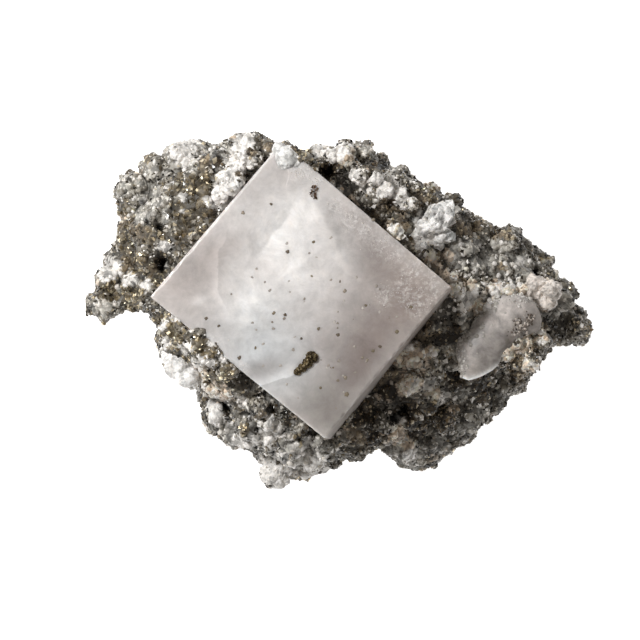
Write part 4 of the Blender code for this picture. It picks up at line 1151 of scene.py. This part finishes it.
# ---- the specks and the frost -------------------------------------------------------------------
# Tiny crystals of brown pyrite lie in the cube's top face as dark specks, and a frost of fine white
# calcite has settled along two of its edges. Both are small solids let into the face.
SPECKS = (                     # x, y and radius
    (-25.4, -1.8, 0.42), (-23.0, -3.2, 0.34), (-12.4, -0.7, 0.38), (-10.2, -1.1, 0.32),
    (-12.4, -3.8, 0.36), (-16.0, -7.4, 0.28), (-3.7, -3.8, 0.34), (0.0, -4.9, 0.36),
    (-8.6, -7.8, 0.30), (-1.2, -11.3, 0.5), (-3.3, -15.1, 0.34), (-0.1, -13.8, 0.36),
    (1.3, 3.5, 0.38), (5.4, 0.8, 0.34), (7.3, 4.5, 0.40), (14.0, 0.5, 0.40), (11.3, -4.3, 0.46),
    (8.1, -7.2, 0.36), (4.8, -9.2, 0.38), (5.6, -9.8, 0.30), (6.7, -8.0, 0.30), (0.2, -9.9, 0.34),
    (3.4, -12.2, 0.36), (1.5, -13.2, 0.50), (1.7, -16.4, 0.58), (-0.4, -19.0, 0.38),
    (-9.7, 11.1, 0.36), (-12.9, 20.3, 0.26), (-18.3, 18.6, 0.34), (-4.7, 13.0, 0.28),
    (-13.1, 3.6, 0.28), (6.8, 17.2, 0.26), (-19.0, -9.3, 0.5), (-6.5, 2.0, 0.2), (-20.5, 3.0, 0.2),
    (2.8, -2.0, 0.2), (-16.5, -2.6, 0.22), (9.8, -1.6, 0.24), (-7.0, -5.6, 0.2), (-5.0, 6.4, 0.2),
)
SPECK_FLAT, SPECK_OUT = 0.45, 0.05     # height beside radius, and how far they stand out
SPECK_GROWTH = 1.15            # how much wider than its crystal a speck's stain is
SPECK_AROUND, SPECK_DOWN, SPECK_LUMPS = 18, 10, ((0.45, 0.3),)
SPECK_COLOURS = ("#776b58", "#63574a", "#8a7f70", "#9a9289", "#564b3e")
FAINT_COLOURS = ("#b5ada5", "#a49b92", "#938a80", "#c2bbb4")
FAINT_SPECKS, FAINT_RADIUS = 46, (0.12, 0.32)
FAINT_OVER, FAINT_MARGIN = (-18.0, 14.0), 2.0          # where they lie in x and y, and off the edge
FROST_COUNT, FROST_RADIUS, FROST_SMALL = 420, (0.06, 0.18), 3
FROST_MARGIN, FROST_SINK = 0.3, 0.2
FROST_COLOUR = "#ded8d2"
PATCH_SPREAD = 0.6             # how widely grains lie about a patch's middle, in its radii
STONE_UNEVEN = 0.25            # how far the corners of their small stones are moved in or out
faint = np.column_stack([random.uniform(*FAINT_OVER, FAINT_SPECKS),
                         random.uniform(*FAINT_OVER, FAINT_SPECKS),
                         random.uniform(*FAINT_RADIUS, FAINT_SPECKS)])
faint = faint[in_from_edge(faint) > FAINT_MARGIN]
speck_grids = []
for x, y, radius in (*SPECKS, *faint):
    radius *= SPECK_GROWTH
    middle = cube_top(x, y) + SPECK_OUT - radius * SPECK_FLAT
    ball = (x, y, middle, radius)
    grid = cluster(ball[:3], [ball], SPECK_AROUND, SPECK_DOWN, SPECK_LUMPS)
    grid[:, :, 2] = middle + (grid[:, :, 2] - middle) * SPECK_FLAT
    speck_grids.append(grid)
speck_mesh = join_grids("specks", speck_grids)
shades = np.vstack([dealt(SPECK_COLOURS, len(SPECKS), random),
                    dealt(FAINT_COLOURS, len(faint), random)])
tint(speck_mesh, np.repeat(shades, len(speck_mesh.vertices) // len(shades), axis=0))
place("pyrite_specks", speck_mesh, quartz_look("brown pyrite", 0.6, Metallic=0.2), "pyrite")


def about_patches(patches, count):
    """So many places, each near the middle of a patch that is picked at random."""
    patch = np.array(patches)[random.integers(0, len(patches), count)]
    return patch[:, :2] + random.normal(size=(count, 2)) * patch[:, 2:] * PATCH_SPREAD


def let_in(spot, face, radius, sink):
    """The middles of grains that lie in a face, deeper in by a share of their radius."""
    return np.column_stack([spot, face(*spot.T) - radius * sink])


spot = about_patches(FROST, FROST_COUNT)
spot = spot[in_from_edge(spot) > FROST_MARGIN]
radius = mostly_small(*FROST_RADIUS, FROST_SMALL, len(spot), random)
frost_mesh = strewn("frost", "stone", STONE_UNEVEN, let_in(spot, cube_top, radius, FROST_SINK),
                    radius, np.tile(linear(FROST_COLOUR), (len(spot), 1)), random)
place("calcite_frost", frost_mesh, GRAIN_LOOKS["white"][0], "white_calcite")

# ---- the side crystal ---------------------------------------------------------------------------
# A smaller, greyer crystal lies in the rock beside the cube: a smooth dome with one thin edge
# that stands free like a blade. Its outer side is stained and set with small brown and pale
# grains, and grit of the rock laps over its inner side.
LENS_CENTRE = (30.8, -5.2)
LENS_RIM = (                   # the lens seen from above, anticlockwise from its low left
    (24.2, -13.3), (25.6, -13.9), (27.4, -13.4), (29.3, -12.5), (31.0, -11.3), (32.3, -8.9),
    (34.3, -6.6), (36.9, -5.0), (39.6, -4.2), (40.0, -1.9), (39.4, -0.1), (38.0, 2.2),
    (35.3, 3.1), (31.6, 2.7), (29.6, 2.2), (28.6, -0.7), (26.8, -2.3), (25.7, -4.5),
    (23.6, -6.3), (23.2, -8.6), (24.0, -11.0),
)
LENS_TOP, LENS_CROWN = 22.6, 1.9       # height of its rim, and how far its middle is over that
LENS_FLOOR, LENS_EDGE = 16.2, 1.0      # height of its keel, and how thick its edge is
LENS_RISE, LENS_RISE_WAY = 0.13, (0.6, -0.8)           # its slope up towards the thin edge
LENS_AROUND, LENS_DOWN = 200, 80
LENS_BLUR, LENS_BLUR_STEPS, LENS_KEEN = 0.6, 11, 3     # as for the rock's rim
LENS_POWER, KEEL_POWER = 3.0, 4        # how flat the crown and the keel stay before their edges
LENS_GREY, LENS_SHADED, LENS_WHITE = "#bdb7b3", "#7c756f", "#fbf9f6"
SHADE_FROM, SHADE_OVER = 0.3, 16         # painted shade: how much the middle has, and over how far it deepens towards the thin edge
BLADE_CORNERS, BLADE_STEPS = 5, 60     # the thin edge: its rim corners, and the steps along it
BLADE_WIDE = 0.6               # how wide its white line is
LENS_STAIN, STAIN_CELL, STAIN_SALT = "#5a4d40", 0.7, 3
STAIN_FADE, STAIN_MOST = 0.6, 0.9
PIT_COUNT, PIT_RADIUS, PIT_SINK = 170, (0.12, 0.42), 0.8
PIT_COLOURS = ("#4b4035", "#5d5145", "#7d7165", "#b3a89e", "#3b3129", "#cfc4ba")
GRIT_COUNT, GRIT_RADIUS, GRIT_SMALL = 320, (0.15, 0.6), 2.5
GRIT_FROM, GRIT_SINK = 11, 0.55        # the first rim corner of the inner side
GRIT_SPREAD, GRIT_NEAR = 0.9, 1.5      # how far in it laps, and how much of it stays near the rim
GRIT_COLOURS = ("#b9b4ad", "#cbc6c0", "#d9d5cf", "#a39d95")
LENS_HIGHLIGHTS_AND_SHADE = (                # x, y, radius and how much whiter or darker the crystal is there: in part painted highlight, and painted shade where darker
    (31.8, -0.2, 2.8, 0.40), (35.5, 0.8, 2.0, 0.25), (25.2, -8.5, 1.5, 0.25),
    (26.5, -12.0, 1.4, 0.2), (29.5, -8.0, 3.0, -0.14),
)
LENS_PITS = (                  # x, y and radius of the stained and gritty patches
    (36.2, -3.6, 1.3), (34.6, -5.2, 1.2), (37.6, -1.8, 1.0), (35.0, -2.4, 0.7), (33.6, -6.4, 0.8),
)


def lens_rise(dx, dy):
    """How much higher the lens lies at a distance from its middle, for its slope."""
    return LENS_RISE * (dx * LENS_RISE_WAY[0] + dy * LENS_RISE_WAY[1])


def lens_surface():
    """The lens: a crowned top that rises to the thin lower edge, and a rounded keel below.

    Inside, the rim's radius is the mean over a wide angle, so the dome has no folds; it comes back
    to the sharp rim at the edge.
    """
    turn = np.arange(LENS_AROUND) / LENS_AROUND * 2 * math.pi - math.pi
    half = np.sin(np.linspace(0.0, math.pi / 2, LENS_DOWN // 2))
    share = np.concatenate([half, half[::-1][1:]])[:, None]
    above = (np.arange(len(share)) < len(half))[:, None]
    sharp = rim_radius(turn, LENS_RIM, LENS_CENTRE)
    ways = np.linspace(-1, 1, LENS_BLUR_STEPS) * LENS_BLUR
    soft = np.mean([rim_radius(turn + way, LENS_RIM, LENS_CENTRE) for way in ways], axis=0)
    reach = share * (soft + (sharp - soft) * share ** LENS_KEEN)
    x = LENS_CENTRE[0] + reach * np.cos(turn)
    y = LENS_CENTRE[1] + reach * np.sin(turn)
    rise = lens_rise(x - LENS_CENTRE[0], y - LENS_CENTRE[1])
    top = LENS_TOP + LENS_CROWN * (1.0 - share ** LENS_POWER) + rise
    keel = LENS_FLOOR + (LENS_TOP + rise - LENS_EDGE - LENS_FLOOR) * share ** KEEL_POWER
    return np.stack([x, y, np.where(above, top, keel)], axis=2)


def lens_top(x, y):
    """Height of the lens's top over a point inside its rim."""
    dx, dy = x - LENS_CENTRE[0], y - LENS_CENTRE[1]
    share = np.hypot(dx, dy) / rim_radius(np.arctan2(dy, dx), LENS_RIM, LENS_CENTRE)
    return LENS_TOP + LENS_CROWN * (1.0 - share ** LENS_POWER) + lens_rise(dx, dy)


lens_mesh = grid_mesh("side_crystal", lens_surface())
lens_points = mesh_points(lens_mesh)
# painted shade, deepening towards the thin edge
to_edge = ((lens_points[:, :2] - LENS_CENTRE) @ np.array(LENS_RISE_WAY))[:, None]
lens_shade = np.clip(SHADE_FROM + to_edge / SHADE_OVER, 0, 1)
grey = linear(LENS_GREY) + (linear(LENS_SHADED) - linear(LENS_GREY)) * lens_shade
steps = np.linspace(0, BLADE_CORNERS - 1, BLADE_STEPS)
blade = np.column_stack([np.interp(steps, np.arange(BLADE_CORNERS), side)
                         for side in np.array(LENS_RIM[:BLADE_CORNERS]).T])
from_blade = np.min(np.linalg.norm(lens_points[:, None, :2] - blade, axis=2), axis=1)[:, None]
white_edge = np.exp(-(from_blade / BLADE_WIDE) ** 2)
grey = grey * (1 - white_edge) + linear(LENS_WHITE) * white_edge
# whiter and darker patches, in part painted highlight and shade
for x, y, radius, much in LENS_HIGHLIGHTS_AND_SHADE:
    grey = grey * (1.0 + much * np.exp(-away_from(lens_points, x, y, radius)))[:, None]
patchy = drift(lens_points, STAIN_CELL, STAIN_SALT)
stain = np.zeros(len(lens_points))
for patch in LENS_PITS:
    stain = np.maximum(stain, np.exp(-away_from(lens_points, *patch) * STAIN_FADE) * patchy)
stain = np.minimum(stain, STAIN_MOST)[:, None]
tint(lens_mesh, grey * (1 - stain) + linear(LENS_STAIN) * stain, 0.0)
lens_look = milky_crystal("grey fluorite", depth=0.5, roughness=0.35, haze_size=2.2,
                          haze_deep=0.42)
place("grey_side_crystal", lens_mesh, lens_look, "grey_crystal", "side_crystal")

spot = about_patches(LENS_PITS, PIT_COUNT)
radius = random.uniform(*PIT_RADIUS, PIT_COUNT)
pit_mesh = strewn("lens_grains", "stone", STONE_UNEVEN, let_in(spot, lens_top, radius, PIT_SINK),
                  radius, dealt(PIT_COLOURS, PIT_COUNT, random), random)
place("side_crystal_grains", pit_mesh, GRAIN_LOOKS["pink"][0], "pink_calcite")

# the grit lies along the rim of the inner side
share = random.uniform(0.0, 1.0, GRIT_COUNT)
side = np.array(LENS_RIM[GRIT_FROM:] + LENS_RIM[:1])
steps = share * (len(side) - 1)
line = np.column_stack([np.interp(steps, np.arange(len(side)), column) for column in side.T])
lapping = np.abs(random.normal(size=(GRIT_COUNT, 1))) ** GRIT_NEAR
spot = line + unit(np.array(LENS_CENTRE) - line) * lapping * GRIT_SPREAD
radius = mostly_small(*GRIT_RADIUS, GRIT_SMALL, GRIT_COUNT, random)
grit_mesh = strewn("lens_grit", "stone", STONE_UNEVEN, let_in(spot, lens_top, radius, GRIT_SINK),
                   radius, dealt(GRIT_COLOURS, GRIT_COUNT, random), random)
place("side_crystal_grit", grit_mesh, GRAIN_LOOKS["quartz"][0], "matrix_rock")

# ---- the calcite growths ------------------------------------------------------------------------
# White and pink calcite grew last, in knobby balls on the rock and on the cube's far corner. Each
# is one closed lump, and the white mass has also cleaved into small blocks.
CORNER_CALCITE = ((-9.9, 29.3, 31.4, 2.4), (-8.5, 28.4, 31.0, 1.8), (-11.4, 30.9, 31.4, 1.35))
CALCITE_MASS = ((20.2, 18.4, 21.8, 2.5), (17.6, 15.9, 21.4, 2.2), (21.4, 19.4, 21.0, 1.8),
                (20.4, 14.4, 20.8, 2.1), (17.0, 12.4, 19.8, 1.6), (18.8, 19.0, 20.8, 1.5),
                (16.2, 14.6, 20.4, 1.6), (19.4, 16.8, 23.0, 1.8))
PINK_CALCITE = ((39.2, 4.1, 20.0, 2.5), (41.4, 3.9, 20.4, 2.5), (41.0, 2.2, 19.6, 2.2),
                (38.4, 5.2, 19.2, 1.5))
RIM_CALCITE = ((-31.6, -11.2, 20.2, 2.6), (-29.6, -12.9, 20.6, 2.5), (-33.0, -9.2, 20.0, 2.0))
GROWTHS = {                    # balls, middle, lumps as cell and height, the lit colour and the painted crease shade, and slot
    "corner_calcite": (CORNER_CALCITE, (-10.2, 28.7, 31.0), ((2.2, 0.5), (0.8, 0.15)),
                       "#efeeeb", "#9d9c9a", "white_calcite"),
    "calcite_mass": (CALCITE_MASS, (19.0, 16.2, 20.4), ((1.6, 0.6), (0.7, 0.35)),
                     "#f4f2ef", "#8e8b89", "white_calcite"),
    "pink_calcite": (PINK_CALCITE, (40.2, 3.6, 19.6), ((1.9, 1.0), (0.9, 0.6), (0.45, 0.2)),
                     "#ebe2d9", "#66584a", "pink_calcite"),
    "rim_calcite": (RIM_CALCITE, (-31.4, -11.2, 19.8), ((2.2, 0.5), (0.8, 0.12)),
                    "#fbf9f6", "#ddd5cc", "white_calcite"),
}
GROWTH_AROUND, GROWTH_DOWN = 160, 90
SHADE_CELL, SHADE_KEEN = 1.7, 1.6      # size of the painted shade in its creases, and how soon it turns to the lit colour

for name, (balls, middle, lumps, pale, deep, slot) in GROWTHS.items():
    broken = name != "corner_calcite"
    grid = cluster(middle, balls, GROWTH_AROUND, GROWTH_DOWN, lumps, cut=broken)
    mesh = grid_mesh(name, grid)
    # painted shade in the creases, the lit colour on the lumps
    share = crags(mesh_points(mesh), SHADE_CELL)[:, None] * SHADE_KEEN
    tint(mesh, linear(deep) + (linear(pale) - linear(deep)) * np.clip(share, 0, 1))
    place(f"{name}_growth", mesh, calcite_look, slot, name)

# broken blocks of the white mass stand on it, with flat faces where it has cleaved
BLOCKS, BLOCK_RADIUS, BLOCK_UNEVEN, BLOCK_SINK = 90, (0.4, 1.25), 0.22, 0.3
BLOCK_COLOURS = ("#f2efea", "#e2ded7", "#bfc0bf", "#faf8f5")


def upward(count):
    """So many random directions in the upper half of all."""
    way = random.normal(size=(count, 3))
    way[:, 2] = np.abs(way[:, 2])
    return unit(way)


mass = np.array(CALCITE_MASS)[random.integers(0, len(CALCITE_MASS), BLOCKS)]
way = upward(BLOCKS)
radius = random.uniform(*BLOCK_RADIUS, BLOCKS)
middles = mass[:, :3] + way * (mass[:, 3:] - radius[:, None] * BLOCK_SINK)
block_mesh = strewn("calcite_blocks", "cube", BLOCK_UNEVEN, middles, radius,
                    dealt(BLOCK_COLOURS, BLOCKS, random), random)
place("calcite_blocks", block_mesh, calcite_look, "white_calcite", smooth=False)

# ---- the pyrite on the cube ---------------------------------------------------------------------
# Two small patches of pyrite grew on the cube's top face: a keyhole-shaped one near its low corner
# and a spot near its far corner. Each is a knot of tiny brassy cubes on a row of flat balls.
PYRITE_CLUSTER = ((-5.1, -9.2, 1.35), (-5.9, -10.3, 1.05), (-6.9, -11.2, 0.9), (-7.8, -11.9, 0.75))
PYRITE_SPOT = ((-4.6, 23.3, 0.85), (-4.9, 22.3, 0.7), (-4.5, 21.6, 0.4))
PYRITE_RISE = 0.1              # height of the balls' middles over the face
PYRITE_SHRINK, PYRITE_SINK, PYRITE_UNEVEN = 0.9, 0.85, 0.1
KNOT_COLOURS = ("#766a52", "#5f5441", "#8b7f66", "#473d2e", "#a89a7a")
SPOT_COLOURS = ("#5b493c", "#6c5647", "#43352b", "#7d6756", "#8f7a62")
pyrite_look = GRAIN_LOOKS["pyrite"][0]
KNOTS = {                      # balls, how many cubes, their least and largest radius, and colours
    "pyrite_cluster": (PYRITE_CLUSTER, 420, (0.16, 0.34), KNOT_COLOURS),
    "pyrite_spot": (PYRITE_SPOT, 46, (0.1, 0.24), SPOT_COLOURS),
}
for name, (flat_balls, count, sizes, table) in KNOTS.items():
    balls = np.array([(x, y, cube_top(x, y) + PYRITE_RISE, radius * PYRITE_SHRINK)
                      for x, y, radius in flat_balls])
    ball = balls[random.choice(len(balls), count, p=balls[:, 3] / sum(balls[:, 3]))]
    middles = ball[:, :3] + upward(count) * ball[:, 3:] * PYRITE_SINK
    radius = random.uniform(*sizes, count)
    mesh = strewn(name, "cube", PYRITE_UNEVEN, middles, radius, dealt(table, count, random), random)
    place(f"{name}_cubes", mesh, pyrite_look, "pyrite", name, smooth=False)

# ---- the floor, the lights and the camera -------------------------------------------------------
# The specimen lies on white paper, in even daylight with a small key light at its upper left and a
# large weak fill, and is seen from straight above.
FLOOR_HALF = 3.0
floor_mesh = bpy.data.meshes.new("floor")
floor_mesh.from_pydata([(-FLOOR_HALF, -FLOOR_HALF, 0.0), (FLOOR_HALF, -FLOOR_HALF, 0.0),
                        (FLOOR_HALF, FLOOR_HALF, 0.0), (-FLOOR_HALF, FLOOR_HALF, 0.0)],
                       [], [(0, 1, 2, 3)])
floor_look, *_ = new_material("white paper", Roughness=0.9, Base_Color=(0.8, 0.8, 0.8, 1.0),
                             Emission_Color=(1.0, 1.0, 1.0, 1.0), Emission_Strength=1.0)
floor_mesh.materials.append(floor_look)
floor = bpy.data.objects.new("floor", floor_mesh)
bpy.context.scene.collection.objects.link(floor)


def softbox(name, stand, size, watts):
    """A square area light that looks at the middle of the specimen."""
    lamp = bpy.data.lights.new(name, "AREA")
    lamp.energy = watts
    lamp.size = size
    obj = bpy.data.objects.new(name, lamp)
    obj.location = stand
    way = np.subtract(LIT_POINT, stand)
    tilt = math.acos(-way[2] / np.linalg.norm(way))
    obj.rotation_euler = (tilt, 0.0, math.atan2(-way[0], way[1]))
    obj.visible_camera = False
    bpy.context.scene.collection.objects.link(obj)


LIT_POINT = (0.0, 0.0, 0.02)
softbox("key softbox", stand=(-0.14, 0.085, 0.23), size=0.05, watts=0.62)
softbox("fill softbox", stand=(0.3, -0.35, 0.4), size=0.4, watts=0.12)

world = bpy.data.worlds.new("studio")
world.use_nodes = True
daylight = world.node_tree.nodes["Background"]
daylight.inputs["Color"].default_value = (1.0, 0.955, 0.9, 1.0)
daylight.inputs["Strength"].default_value = 0.22
bpy.context.scene.world = world
bpy.context.scene.view_settings.view_transform = "Standard"

CAMERA_HIGH, CAMERA_OVER = 0.600, (-0.0035, -0.00204)  # in metres, as all that follows
LEVEL_SEEN, WIDTH_SEEN = 0.012, 0.128          # the view is 128 mm wide at this height
camera_data = bpy.data.cameras.new("camera")
camera_data.sensor_width = 36.0
camera_data.lens = camera_data.sensor_width * (CAMERA_HIGH - LEVEL_SEEN) / WIDTH_SEEN
camera_data.clip_start = 0.01
camera = bpy.data.objects.new("camera", camera_data)
camera.location = (*CAMERA_OVER, CAMERA_HIGH)
bpy.context.scene.collection.objects.link(camera)
bpy.context.scene.camera = camera
